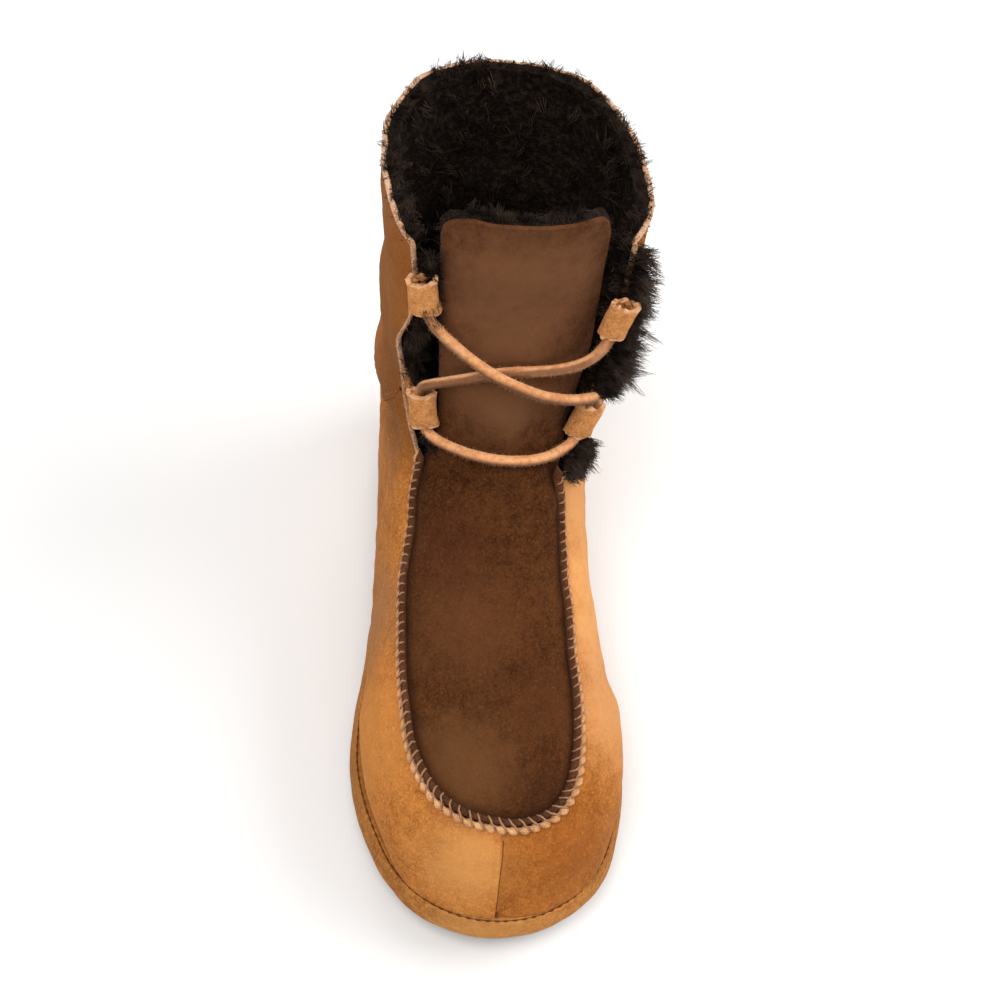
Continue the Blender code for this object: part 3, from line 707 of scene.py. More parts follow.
upper = closed_form("upper_suede", worn_skin)
inside = closed_form("inside", worn_skin - skin_out * SUEDE)
cut(upper, inside, seat_tool(0.3), opening_tool(0.0), collar_tool(0.0))
upper.data.materials.append(chestnut.material)
tidy_mesh(upper)
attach(upper, "root")
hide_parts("upper")


# ---- Apron and tongue ----------------------------------------------------------------
# One piece of dark chocolate suede: the moccasin's plug over the toes, running on
# behind the laces as the tongue, whose sides curl back between the quarters.
TONGUE_SINK, TONGUE_CURL = 3.0, 4.5
APRON_MARKS = (
    Mark(-15, 44, 62, 34, (0.165, 0.066, 0.023), 0.65),
    Mark(14, 66, 68, 26, (0.12, 0.040, 0.014), 0.5),
    Mark(2, 152, 128, 16, (0.18, 0.085, 0.042), 0.6),
    Mark(-14, 92, 78, 38, (0.15, 0.055, 0.020), 0.5),
    Mark(16, 30, 58, 22, (0.045, 0.015, 0.006), 0.6),
    Mark(-20, 120, 90, 30, (0.075, 0.022, 0.009), 0.5),
    Mark(0, 158, 180, 56, (0.19, 0.080, 0.037), 0.75),
    Mark(-4, 152, 140, 44, (0.17, 0.070, 0.031), 0.75),
)

curl = TONGUE_CURL * np.minimum(1.2, (skin[..., 0] / 30.0) ** 2)
sink = (TONGUE_SINK + curl) * smooth_step(skin[..., 2], 94.0, 114.0)
apron_skin = worn_skin - skin_out * sink[..., None]
apron = closed_form("apron_suede", apron_skin)
apron_inside = closed_form("inside", apron_skin - skin_out * SUEDE)
cut(apron, apron_inside)
cut(apron, opening_tool(0.3, tongue=True), operation="INTERSECT")
BROWN_TINT = (0.8, 0.5, 0.35)
chocolate, chocolate_colour, chocolate_nap = suede(
    "chocolate_suede", (0.108, 0.036, 0.0105), (0.034, 0.0105, 0.003), grain=1.2, painted_glint_amount=0.6,
    tint=BROWN_TINT, marks=APRON_MARKS)
seam_shadow = chocolate.painted("beside_seam") * 0.75
chocolate.use(chocolate.mix(seam_shadow, chocolate_colour, (0.022, 0.007, 0.003)),
              chocolate_nap, 0.0005, strength=0.8)
apron.data.materials.append(chocolate.material)
tidy_mesh(apron)
away = np.array([near_seam.find(vertex.co / MM + Vector((0, MIDDLE_S, 0)))[2]
                 for vertex in apron.data.vertices])
paint(apron, "beside_seam", smooth_step(away, 6.0, 2.0))
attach(apron, "root")
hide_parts("apron_tongue")


# ---- Whipstitched seam ---------------------------------------------------------------
# The apron's edge and the wall's gathered raw edge stand up side by side round the
# plug, and a pale waxed thread is wound over both, one turn every four millimetres.
STITCH_PITCH = 3.85
STITCH_SLANT = -0.75     # how far a turn of thread runs along for each millimetre across
FIRST_TURN, LAST_TURN = 6.0, 5.0
PINCH_WIDE = 0.75
THREAD = 0.40            # radius of the thread
# One turn of thread over the two lips: how far across and how far up, from the wall
# to the apron.  Round the toe it stands over both, along the sides it lies lower.
TOE_TURN = ((2.32, 0.0), (2.05, 1.17), (1.40, 2.19), (0.56, 2.29), (-0.19, 2.34),
            (-1.12, 2.68), (-1.86, 2.05), (-2.28, 1.07), (-2.46, 0.0))
SIDE_TURN = ((1.70, -0.20), (1.45, 0.90), (1.00, 1.65), (0.40, 2.15), (-0.20, 2.45),
             (-0.85, 2.85), (-1.45, 2.75), (-1.95, 1.60), (-1.80, 0.20))


def frame_of(line):
    """Places, tangents, normals and sideways directions of a line with normals."""
    place, up = line[:, :3], line[:, 3:6]
    ahead = np.gradient(place, axis=0)
    ahead /= np.linalg.norm(ahead, axis=1, keepdims=True)
    up = up - (up * ahead).sum(1, keepdims=True) * ahead
    up /= np.linalg.norm(up, axis=1, keepdims=True)
    return place, ahead, up, np.cross(ahead, up)


def shut_faces(rows, count):
    """Faces of a strip or tube through rings, with a flat face at either end."""
    return grid_faces(rows, count) + [tuple(range(count))[::-1],
                                      tuple(range((rows - 1) * count, rows * count))]


def sweep(name, line, profile, shape=None):
    """A strip along a line: profile points are (sideways, up); shape may change them."""
    place, _, up, side = frame_of(line)
    profile = np.array(profile, float)
    rows, count = len(place), len(profile)
    out = np.repeat(profile[None], rows, axis=0)
    if shape is not None:
        out = shape(out, np.arange(rows))
    points = place[:, None] + out[..., :1] * side[:, None] + out[..., 1:2] * up[:, None]
    made = new_piece(name, points.reshape(-1, 3), shut_faces(rows, count))
    tidy_mesh(made, 60.0)
    return made


def oval(wide, tall, middle_side, middle_up, count=12):
    return [(middle_side + wide * math.cos(a), middle_up + tall * math.sin(a))
            for a in circle(count)]


def tube(line, radius, sides=6, ends=(1.0, 1.0)):
    """Places and faces of one thin tube through the points of a line."""
    line = np.asarray(line, float)
    ahead = np.gradient(line, axis=0)
    ahead /= np.linalg.norm(ahead, axis=1, keepdims=True) + 1e-9
    first = np.cross(ahead, (0.3, 0.2, 0.93))
    first /= np.linalg.norm(first, axis=1, keepdims=True) + 1e-9
    second = np.cross(ahead, first)
    turn = circle(sides)
    size = radius * np.interp(np.linspace(0, 1, len(line)), (0, 0.2, 0.8, 1),
                              (ends[0], 1, 1, ends[1]))
    ring = (np.cos(turn)[None, :, None] * first[:, None]
            + np.sin(turn)[None, :, None] * second[:, None]) * size[:, None, None]
    return (line[:, None] + ring).reshape(-1, 3), shut_faces(len(line), sides)


def joined(name, parts, finish):
    """Many small shapes as one mesh."""
    points, faces, base = [], [], 0
    for some, more in parts:
        points.append(some)
        faces += [tuple(base + i for i in face) for face in more]
        base += len(some)
    made = new_piece(name, np.vstack(points), faces, finish)
    tidy_mesh(made, 60.0)
    return made


def on_worn(line):
    """The same line laid on the worn skin."""
    out = []
    for row in line:
        start = Vector(row[:3]) + Vector(row[3:6]) * 12.0
        place, _, _, _ = worn.ray_cast(start, -Vector(row[3:6]))
        out.append(np.array(place) if place else row[:3])
    return np.hstack([soften(np.array(out), 6), line[:, 3:6]])


seam = on_worn(seam)
seam_long = lengths(seam[:, :3])
turns = np.arange(FIRST_TURN, seam_long[-1] - LAST_TURN, STITCH_PITCH)
gather = smooth_step(seam[:, 1], 75.0, 30.0)      # 1 round the toe, 0 along the sides


def pinched(side_amount, puff, slim=1.0):
    """Shape of a lip that the thread pulls in at each turn.

    Round the toe it leans out by side_amount between turns; puff is how much it swells
    there, and slim how thick it is along the sides, as a share of its thickness at the toe.
    """
    def shape(out, rows):
        along = seam_long[rows]
        thin = slim + (1 - slim) * gather
        taper = smooth_step(np.minimum(along, seam_long[-1] - along), -1.0, 4.0)
        out = out * (thin * taper)[:, None, None]
        for j in range(out.shape[1]):
            where = along + STITCH_SLANT * out[:, j, 0]
            gap = np.abs(where[:, None] - turns[None]).min(1)
            pinch = np.exp(-(gap / PINCH_WIDE) ** 2)
            grow = 1 + (puff + 1.6 * puff * gather) * (0.5 - pinch)
            out[:, j, 1] = out[:, j, 1] * grow
            out[:, j, 0] += side_amount * gather * (0.5 - pinch)
            rough = np.array([noise.noise((a * 0.9, j * 0.7, side_amount)) for a in along])
            out[:, j, 1] += 0.22 * rough
            out[:, j, 0] += 0.15 * rough
        return out
    return shape


dark_lip = sweep("apron_lip", seam, oval(1.25, 1.75, -1.15, 0.85), pinched(-0.4, 0.22))
lip_brown, lip_colour, lip_nap = suede("lip_suede", (0.135, 0.053, 0.024), (0.045, 0.016, 0.006),
                                       0.8, tint=BROWN_TINT)
lip_brown.use(lip_colour, lip_nap, 0.0005)
dark_lip.data.materials.append(lip_brown.material)
tan_lip = sweep("wall_lip", seam, oval(1.35, 1.95, 1.25, 0.6), pinched(1.0, 0.34, 0.70))
lip_tan, lip_colour, lip_nap = suede("raw_edge", (0.86, 0.50, 0.25), (0.42, 0.17, 0.055), 0.7)
at_toe = lip_tan.ramp(lip_tan.axis("Y"), -0.075, -0.10)
lip_colour = lip_tan.mix(at_toe, lip_tan.mix(0.5, lip_colour, (0.60, 0.29, 0.135)), lip_colour)
# Painted shade: the medial back end of the pale lip is darkened where the fur tuft hangs over it.
painted_shade_under_tuft = (lip_tan.ramp(lip_tan.axis("Y"), -0.002, 0.006)
              * lip_tan.ramp(lip_tan.axis("X"), 0.0, 0.01))
lip_tan.use(lip_tan.mix(painted_shade_under_tuft * 0.9, lip_colour, (0.040, 0.017, 0.008)), lip_nap, 0.0006)
tan_lip.data.materials.append(lip_tan.material)

place, _, up, side = frame_of(seam)
wound = []
for number, turn in enumerate(turns):
    slip = noise.noise((number * 1.7, 0.0, 0.0)) * 0.8
    toeness = np.interp(turn, seam_long, gather)
    path = []
    for across, over in (1 - toeness) * np.array(SIDE_TURN) + toeness * np.array(TOE_TURN):
        at = turn - STITCH_SLANT * across + slip
        i = int(round(np.interp(at, seam_long, np.arange(len(seam)))))
        path.append(place[i] + side[i] * across + up[i] * over)
    wound.append(tube(path, THREAD * (1 + 0.2 * noise.noise((number * 2.3, 4.0, 0.0)))))
thread = Finish("waxed_thread", {"Roughness": 0.8, "Specular IOR Level": 0.15})
twist = thread.noise(1400.0, 2.0)
side_thread = thread.mix(twist, (0.24, 0.095, 0.042), (0.52, 0.26, 0.14))
toe_thread = thread.mix(twist, (0.20, 0.085, 0.042), (0.56, 0.30, 0.175))
round_toe = thread.ramp(thread.axis("Y"), -0.085, -0.108)
thread.use(thread.mix(round_toe, side_thread, toe_thread), twist, 0.0002)
stitches = joined("whipstitch", wound, thread.material)
for piece, kind in ((dark_lip, "chocolate"), (tan_lip, "chestnut"), (stitches, "lace")):
    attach(piece, "root")


# ---- Wrapped platform ----------------------------------------------------------------
# A foam platform in a strip of suede that is turned over its top edge and sewn
# through with dark thread just under the lip.
PLATFORM = (
    Plan(TOE_S, 0.0, 0.0), Plan(-0.3, 12.4, 12.4), Plan(4.6, 24.2, 24.4), Plan(11.2, 33.0, 33.4),
    Plan(23.0, 42.2, 42.6), Plan(35.5, 47.4, 48.0), Plan(48.0, 51.0, 52.0), Plan(66.0, 52.3, 55.0),
    Plan(82.0, 49.6, 54.4), Plan(105.0, 46.6, 50.8), Plan(128.0, 43.8, 47.2),
    Plan(152.0, 41.4, 44.6), Plan(180.0, 40.8, 43.2), Plan(208.0, 42.0, 42.4),
    Plan(235.0, 41.8, 41.2), Plan(255.0, 34.6, 34.2), Plan(267.0, 23.6, 23.4),
    Plan(273.4, 11.2, 11.2), Plan(HEEL_S, 0.0, 0.0),
)
BULGE = 4.4              # how far the band swells out past the top of the platform
OUTSOLE_THICK = 5.0
AROUND_BAND = 420
# How deep down the band a ring lies, and how far in from the widest line.
BAND = ((-0.03, BULGE + 3.0), (-0.03, BULGE + 0.3), (-0.035, 3.75), (0.0, 3.4), (0.02, 3.0),
        (0.0, 2.55), (0.03, 2.15), (0.08, 1.8), (0.17, 1.3), (0.28, 0.8),
        (0.40, 0.35), (0.50, 0.08), (0.60, 0.0), (0.70, 0.0), (0.80, 0.3), (0.90, 1.0),
        (0.97, 1.9), (1.0, 2.9), (1.0, 7.0))
WRAP_MARKS = (
    Mark(-6, 0, 12, 40, (0.58, 0.28, 0.09), 0.5),
    Mark(52, 70, 14, 40, (0.60, 0.30, 0.11), 0.4),
    Mark(-54, 66, 12, 34, (0.30, 0.12, 0.03), 0.6),
    Mark(0, 275, 16, 40, (0.30, 0.13, 0.04), 0.5),
)
# The sewn line is laid at half a millimetre a step: stitches of four steps, one every
# seven, standing out of the joint at their middle.
DASH_POINTS, DASH_EVERY = 5, 7
DASH_LIFT = np.array([0.0, 0.16, 0.22, 0.16, 0.0])
DASH, CORD = 0.36, 0.2   # radius of a stitch, and of the thread between stitches
JOINT_DEPTH, JOINT_INSET = 0.004, 3.0        # where on the band it is sewn


def band_place(depth, inset, count=AROUND_BAND):
    """A ring of places round the platform, part of the way down its side."""
    ring = plan_outline(PLATFORM, inset, count)
    top = side_height("platform", ring[:, 1])
    low = np.maximum(0.0, side_height("tread", ring[:, 1])) + OUTSOLE_THICK
    return np.column_stack([ring, top + (low - top) * depth])


rings = []
for depth, inset in BAND:
    ring = band_place(depth, inset)
    soft = np.array([noise.noise(Vector(p) * 0.05) * 0.55 + noise.noise(Vector(p) * 0.16) * 0.2
                     for p in ring])
    out = ring[:, :2] - band_place(depth, inset + 1.0)[:, :2]
    ring[:, :2] += out * (soft * smooth_step(depth, 0.15, 0.4) * (depth < 0.99))[:, None]
    rings.append(ring)
band = closed_form("platform_band", np.array(rings))
tidy_mesh(band, 50.0)
wrap, wrap_colour, wrap_nap = suede(
    "wrap_suede", (0.54, 0.220, 0.055), (0.25, 0.088, 0.018), 1.6, painted_glint_amount=0.6, marks=WRAP_MARKS)
foot = wrap.ramp(wrap.axis("Z") + wrap.noise(70.0) * 0.004, 0.011, 0.006)
wrap.use(wrap.mix(foot * 0.55, wrap_colour, (0.20, 0.10, 0.045)), wrap_nap, 0.0005)
band.data.materials.append(wrap.material)

dark_thread = Finish("dark_thread", {"Roughness": 0.85, "Specular IOR Level": 0.1})
dark_thread.use(dark_thread.mix(dark_thread.noise(1500.0), (0.075, 0.024, 0.007),
                                (0.17, 0.060, 0.018)))
joint = band_place(JOINT_DEPTH, JOINT_INSET, 800)
line = even(np.vstack([joint, joint[:1]]), 0.5)
outwards = (line - line.mean(0)) * (1.0, 1.0, 0.0)
outwards /= np.linalg.norm(outwards, axis=1, keepdims=True)
dashes = []
for start in np.arange(0, len(line) - DASH_POINTS, DASH_EVERY):
    part = slice(start, start + DASH_POINTS)
    lift = ((0, 0, 1.0) + outwards[part] * 1.5) * DASH_LIFT[:, None]
    dashes.append(tube(line[part] + lift, DASH, 6, (0.4, 0.4)))
dashes.append(tube(line[::2] - (0, 0, 0.25), CORD))
band_stitch = joined("band_stitch", dashes, dark_thread.material)
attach(band, "root")
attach(band_stitch, "root")
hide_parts("platform_wrap")


# ---- Raw edges of quarters and collar ------------------------------------------------
# The cut edge of the chestnut suede, paler than its face and a little frayed, up one
# side of the throat, round the collar and down the other side.
THROAT_FOOT, THROAT_HEAD = 99.0, COLLAR_Z - 2.6


def throat_line(side):
    """The edge of one quarter, from the apron's seam up to the collar."""
    sign = 1 if side == "medial" else -1
    heights = np.linspace(THROAT_FOOT, THROAT_HEAD, 200)
    widths = curve_through(column(THROAT_EDGE, "z"), column(THROAT_EDGE, side), heights)
    hits = [cast(worn, (sign * w, -50.0, z), (0, 1, 0)) for w, z in zip(widths, heights)]
    return np.array([np.hstack(h) for h in hits])


def on_shaft(turn, height):
    """The shaft's outer face and its outward normal, at an angle round from the back."""
    reach = Vector((math.sin(turn), math.cos(turn), 0.0))
    place, normal = cast(worn, Vector((0.0, SHAFT_S, height)), reach)
    return place, -normal


lateral, medial = throat_line("lateral"), throat_line("medial")
collar = []
for turn in np.radians(np.arange(-142.0, 142.1, 1.5)):
    place, _ = on_shaft(turn, COLLAR_Z - 1.0)
    hit = on_shaft(turn, float(collar_height(place[1])))
    if hit[0][1] > lateral[-1, 1] + 2:
        collar.append(np.hstack(hit))
collar = np.array(collar)
edge_line = np.vstack([lateral, collar, medial[::-1]])
from_middle = edge_line[:, :2] - (0, SHAFT_S)
edge_line[:, 3:6] *= np.sign((edge_line[:, 3:5] * from_middle).sum(1))[:, None]
edge_line = soften(even(edge_line, 0.7), 3)


def frayed(out, rows):
    """Shape of a cut edge that has worn ragged."""
    for j in range(out.shape[1]):
        rough = np.array([noise.noise((r * 0.5, j * 0.8, 5.0)) for r in rows])
        slow = np.array([noise.noise((r * 0.07, 2.0, 9.0)) for r in rows])
        out[:, j, 0] += 0.34 * rough + 0.6 * slow
        out[:, j, 1] += 0.2 * rough
    return out


raw_edge = sweep("raw_edge", edge_line, oval(0.5, 1.1, 0.15, -0.95, 10), frayed)
flesh_side, flesh_colour, flesh_nap = suede(
    "flesh_side", (0.84, 0.54, 0.36), (0.36, 0.15, 0.06), 0.6)
matted = (flesh_side.ramp(flesh_side.axis("X"), 0.020, 0.024)
          * flesh_side.ramp(flesh_side.axis("Y"), 0.042, 0.036)
          * flesh_side.ramp(flesh_side.axis("Z"), 0.191, 0.184))
flesh_colour = flesh_side.mix(matted * 0.93, flesh_colour, (0.020, 0.009, 0.005))
raw_edge.data.materials.append(flesh_side.use(flesh_colour, flesh_nap, 0.0006))
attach(raw_edge, "root")


# ---- Shearling lining ----------------------------------------------------------------
# The fleece side of the skin: a dense dark brown pile inside wall, quarters and
# tongue, which springs out past the edges of the throat and over the collar.
PILE_IN = 6.6            # from the skin's outer face to the pile's inner face
many = 1.0

# Locks of fibre: how many, fibres in each, how long, how thick, how far apart at the
# root, the radius of a curl, how they hang for their length, and points along a fibre.
# Without a length, locks() is given one for each place.
Fur = namedtuple("Fur", "name seed count fibres length thick spread curl hang steps")
DROOP = (0.0, 0.0, -0.15)
STIFF = (0.0, 0.0, 0.0)
SHAFT_FUR = Fur("fleece_shaft", 11, 260, 10, 5.5, 0.24, 2.0, 0.8, DROOP, 4)
COLLAR_FUR = Fur("fleece_collar", 12, 280, 12, 5.5, 0.19, 1.7, 0.5, DROOP, 4)
RIM_FUR = Fur("fleece_rim", 17, 200, 10, 3.6, 0.14, 1.0, 0.3, DROOP, 4)
LATERAL_FUR = Fur("fleece_lateral", 13, 150, 12, 7.0, 0.19, 1.6, 0.7, DROOP, 4)
MEDIAL_FUR = Fur("fleece_medial", 18, 110, 12, 7.0, 0.19, 1.6, 0.7, DROOP, 4)
FRINGE_FUR = Fur("fringe_medial", 16, 240, 17, None, 0.19, 1.6, 0.8, (0.25, -0.1, -0.17), 5)
COVER_FUR = Fur("fringe_cover", 23, 270, 13, 5.5, 0.20, 1.6, 0.8, (0.35, -0.1, -0.2), 5)
TUFT_FUR = Fur("fringe_tuft", 19, 90, 16, None, 0.19, 1.9, 0.7, (0.2, -0.1, -0.2), 5)
TONGUE_FUR = Fur("fleece_tongue", 21, 230, 12, 4.6, 0.18, 1.2, 0.5, DROOP, 4)
EDGE_FUZZ = Fur("edge_fuzz", 41, 1000, 2, 1.5, 0.08, 0.45, 0.25, STIFF, 3)
# The fringe on the medial edge is short at the foot of the throat and longest above it.
FRINGE_Z = (100.0, 107.0, 123.0, 128.0, 133.0, 150.0, 165.0, 178.0, 190.0)
FRINGE_LONG = (5.0, 5.0, 3.5, 7.5, 9.0, 8.5, 8.0, 9.0, 6.0)


def clumps(points, amount):
    """How far the matted lumps of the pile stand out at each point."""
    return np.array([noise.noise(Vector(p) * 0.16) * 0.7 + noise.noise(Vector(p) * 0.42) * 0.5
                     for p in points]) * amount


flat_skin = worn_skin.reshape(-1, 3)
tip_fade = smooth_step(skin[..., 1], 4.0, 26.0) * smooth_step(skin[..., 2], 4.0, 20.0)
deep = (PILE_IN + clumps(flat_skin, 1.5).reshape(skin.shape[:2])) * tip_fade
lining = closed_form("shearling", worn_skin - skin_out * (2.0 * tip_fade)[..., None])
cut(lining, closed_form("inside", worn_skin - skin_out * deep[..., None]), seat_tool(0.4),
    collar_tool(0.6), opening_tool(-0.2))
tongue_deep = sink + (PILE_IN - 1.2) + clumps(flat_skin, 1.0).reshape(skin.shape[:2])
tongue_pile = closed_form("tongue_shearling", worn_skin - skin_out * (sink + 2.0)[..., None])
cut(tongue_pile, closed_form("inside", worn_skin - skin_out * tongue_deep[..., None]))
cut(tongue_pile, opening_tool(0.2, tongue=True), operation="INTERSECT")
pile = Finish("dark_pile", {"Roughness": 0.85, "Specular IOR Level": 0.1})
curl_tone = pile.noise(420.0, 3.0, 0.7)
pile.use(pile.mix(pile.ramp(curl_tone, 0.40, 0.70), (0.006, 0.003, 0.002),
                  (0.028, 0.016, 0.010)), curl_tone, 0.0016)
for piece in (lining, tongue_pile):
    piece.data.materials.append(pile.material)
    tidy_mesh(piece, 60.0)
    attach(piece, "root")


def locks(fur, points, leans, finish, length=None):
    """Locks of curly fibres as one mesh; the fibres of a lock draw together to its tip."""
    rng = np.random.default_rng(fur.seed)
    count, fibres, steps = int(fur.count * many), fur.fibres, fur.steps
    root = rng.integers(0, len(points), count)
    long = length[root] if fur.length is None else fur.length
    long = (long * rng.uniform(0.7, 1.15, count))[:, None, None, None]
    lean = leans[root] + rng.normal(0, 0.30, (count, 3))
    lean /= np.linalg.norm(lean, axis=1, keepdims=True)
    bend = rng.normal(0, 0.28, (count, 3))
    t = np.linspace(0, 1, steps)[None, None, :, None]
    stem = (points[root][:, None, None] + lean[:, None, None] * long * t
            + bend[:, None, None] * long * t**2 + np.array(fur.hang) * long * t**2)
    off = rng.normal(0, fur.spread, (count, fibres, 1, 3))
    loose = rng.uniform(0.12, 0.55, (count, fibres, 1, 1))
    line = stem + off * (1 - (1 - loose) * t**0.8)
    angle = rng.uniform(0, 6.3, (count, fibres, 1, 1))
    angle = angle + rng.uniform(3.5, 8.0, (count, 1, 1, 1)) * t
    one = np.cross(lean, (0.31, 0.22, 0.92))
    one /= np.linalg.norm(one, axis=1, keepdims=True)
    two = np.cross(lean, one)
    coil = one[:, None, None] * np.cos(angle) + two[:, None, None] * np.sin(angle)
    line = line + coil * fur.curl * t
    tail = rng.uniform(0.75, 1.0, (count, fibres, 1, 1))
    line = line[:, :, :1] + (line - line[:, :, :1]) * tail
    line = line.reshape(-1, steps, 3)
    total = len(line)
    taper = (1.1 - np.linspace(0, 1, steps)[:, None]) ** 0.6
    size = fur.thick * rng.uniform(0.7, 1.3, (total, 1, 1)) * taper
    turn = circle(3)
    ring = (np.repeat(one, fibres, axis=0)[:, None, None] * np.cos(turn)[:, None]
            + np.repeat(two, fibres, axis=0)[:, None, None] * np.sin(turn)[:, None])
    places = (line[:, :, None] + ring * size[..., None]).reshape(-1, 3)
    base = (np.arange(total) * steps * 3)[:, None]
    quads = np.array(grid_faces(steps, 3))
    faces = (base[:, :, None] + quads[None]).reshape(-1, 4).tolist()
    ends = np.array([(2, 1, 0), ((steps - 1) * 3, (steps - 1) * 3 + 1, (steps - 1) * 3 + 2)])
    faces += (base[:, :, None] + ends[None]).reshape(-1, 3).tolist()
    made = new_piece(fur.name, places, faces, finish.material)
    paint(made, "tip", np.tile(np.repeat(np.linspace(0, 1, steps), 3), total))
    made.data.shade_smooth()
    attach(made, "root")


fleece = Finish("fleece_fibres", {"Roughness": 0.7, "Specular IOR Level": 0.12})
fleece.use(fleece.mix(fleece.ramp(fleece.noise(160.0, 2.0), 0.40, 0.65),
                      (0.009, 0.0045, 0.003), (0.050, 0.030, 0.020)))
fringe = Finish("fringe_fibres", {"Roughness": 0.7, "Specular IOR Level": 0.12})
fringe_tone = fringe.mix(fringe.ramp(fringe.noise(160.0, 2.0), 0.40, 0.65),
                         (0.007, 0.0035, 0.002), (0.030, 0.017, 0.011))
# Painted light: the fibre tips are painted greyish-brown, standing in for the bright ground
# showing through them.
painted_backlit_tips = fringe.ramp(fringe.painted("tip") + fringe.noise(90.0) * 0.5 - 0.25, 0.45, 1.05)
fringe.use(fringe.mix(painted_backlit_tips * 0.85, fringe_tone, (0.10, 0.070, 0.054)))

flat_out = skin_out.reshape(-1, 3)
widths = curve_through(column(THROAT_EDGE, "z"), [(r.medial, r.lateral) for r in THROAT_EDGE],
                       flat_skin[:, 2])
edge_width = np.where(flat_skin[:, 0] > 0, widths[:, 0], widths[:, 1])
in_throat = (np.abs(flat_skin[:, 0]) < edge_width) & (flat_skin[:, 1] < 200.0)
wall_part = (flat_skin[:, 2] > 80.0) & (flat_skin[:, 2] < 193.0) & ~in_throat
inner = (worn_skin - skin_out * deep[..., None]).reshape(-1, 3)
locks(SHAFT_FUR, inner[wall_part], -flat_out[wall_part] * 0.7 + (0, 0, -0.15), fleece)
place, out = collar[:, :3], collar[:, 3:6]
locks(COLLAR_FUR, place - out * 4.0 - (0, 0, 1.5), -out * 0.15 + (0, 0, 0.9), fleece)
locks(RIM_FUR, place - out * 2.4 - (0, 0, 1.0), out * 0.55 + (0, 0, 0.8), fleece)

place, _, up, across = frame_of(lateral)
use = (lateral[:, 2] > 101.0) & (lateral[:, 2] < 190.0)
locks(LATERAL_FUR, (place - up * 4.6 + across * 2.6)[use], (across * 0.9 + up * 0.25)[use], fleece)
place, _, up, across = frame_of(medial)
z = medial[:, 2]
use = (z > 100.0) & (z < 190.0) & ((z < 107.0) | (z > 123.0))     # none behind the lower loop
cover = use & (z < 172.0)
tuft = (z > 98.5) & (z < 106.5)
locks(FRINGE_FUR, (place + across * 1.3 - up * 0.8)[use], (up * 0.75 + (0.55, -0.05, 0.0))[use],
      fringe, np.interp(z[use], FRINGE_Z, FRINGE_LONG))
locks(COVER_FUR, (place + across * 1.2 - up * 0.4)[cover],
      (up * 0.9 + (0.45, -0.35, 0.05))[cover], fleece)
locks(TUFT_FUR, (place + across * 1.6 - up * 0.3)[tuft], (up * 0.6 + (0.25, -0.55, 0.0))[tuft],
      fringe, np.interp(z[tuft], (98.5, 103.0), (3.5, 5.6)))
locks(MEDIAL_FUR, (place - up * 4.4 + across * 3.2)[use], (across * 0.5 + up * 0.5)[use], fleece)
place, _, up, across = frame_of(edge_line)
use = edge_line[:, 2] < 186.0
locks(EDGE_FUZZ, (place - up * 0.9)[use], (up * 0.5 + across * 0.35)[use], flesh_side)

tongue_edges = []
heights = np.linspace(104.0, TONGUE_Z - 2.0, 160)
apron_tree = fill_grid(apron_skin)
for sign, side_name in ((1, "tongue_medial"), (-1, "tongue_lateral")):
    widths = curve_through(column(THROAT_EDGE, "z"), column(THROAT_EDGE, side_name), heights)
    for w, z in zip(widths, heights):
        corner = max(0.0, z - (TONGUE_Z - TONGUE_CORNER))
        w -= TONGUE_CORNER - math.sqrt(max(0.0, TONGUE_CORNER**2 - corner**2))
        hit = cast(apron_tree, (sign * (w - 1.0), -50.0, z), (0, 1, 0))
        tongue_edges.append(np.hstack([hit[0], hit[1], (sign * 0.8, 0.3, 0.1)]))
for x in np.linspace(-20, 20, 150):
    hit = cast(apron_tree, (x, -50.0, TONGUE_Z - 1.0), (0, 1, 0))
    tongue_edges.append(np.hstack([hit[0], hit[1], (0.1 * x / 20, 0.35, 0.8)]))
tongue_edges = np.array(tongue_edges)
locks(TONGUE_FUR, tongue_edges[:, :3] - tongue_edges[:, 3:6] * 4.4, tongue_edges[:, 6:9], fleece)


# ---- Footbed -------------------------------------------------------------------------
# A sheepskin footbed laid in the boot, its pile trodden into soft lumps.
FOOTBED_VOXEL = 1.6
BED_FUR = Fur("fleece_footbed", 31, 130, 10, 3.6, 0.26, 1.8, 0.8, DROOP, 4)
BED_FUR_FROM = 150.0     # locks stand only behind this, under the opening

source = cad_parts["insole"]
footbed = source.copy()
footbed.data = source.data.copy()
footbed.name = "footbed"
bpy.context.scene.collection.objects.link(footbed)
pick(footbed)
bpy.ops.object.mode_set(mode="EDIT")
bpy.ops.mesh.select_all(action="SELECT")
bpy.ops.mesh.remove_doubles(threshold=0.00001)
bpy.ops.object.mode_set(mode="OBJECT")
remesh = footbed.modifiers.new("pile", "REMESH")
remesh.mode = "VOXEL"
remesh.voxel_size = FOOTBED_VOXEL * MM
bpy.ops.object.modifier_apply(modifier="pile")
for vertex in footbed.data.vertices:
    p = vertex.co / MM
    if vertex.normal.z > 0.3:
        vertex.co.z += MM * (noise.noise(p * 0.14) * 1.0 + noise.noise(p * 0.4) * 0.7)
footbed.data.materials.clear()
footbed.data.materials.append(pile.material)
tidy_mesh(footbed, 60.0)
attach(footbed, "root")
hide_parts("insole")
bed = np.array([vertex.co[:] for vertex in footbed.data.vertices if vertex.normal.z > 0.5]) / MM
bed[:, 1] += MIDDLE_S
bed = bed[bed[:, 1] > BED_FUR_FROM]
locks(BED_FUR, bed, np.tile((0.0, 0.0, 1.0), (len(bed), 1)), fleece)


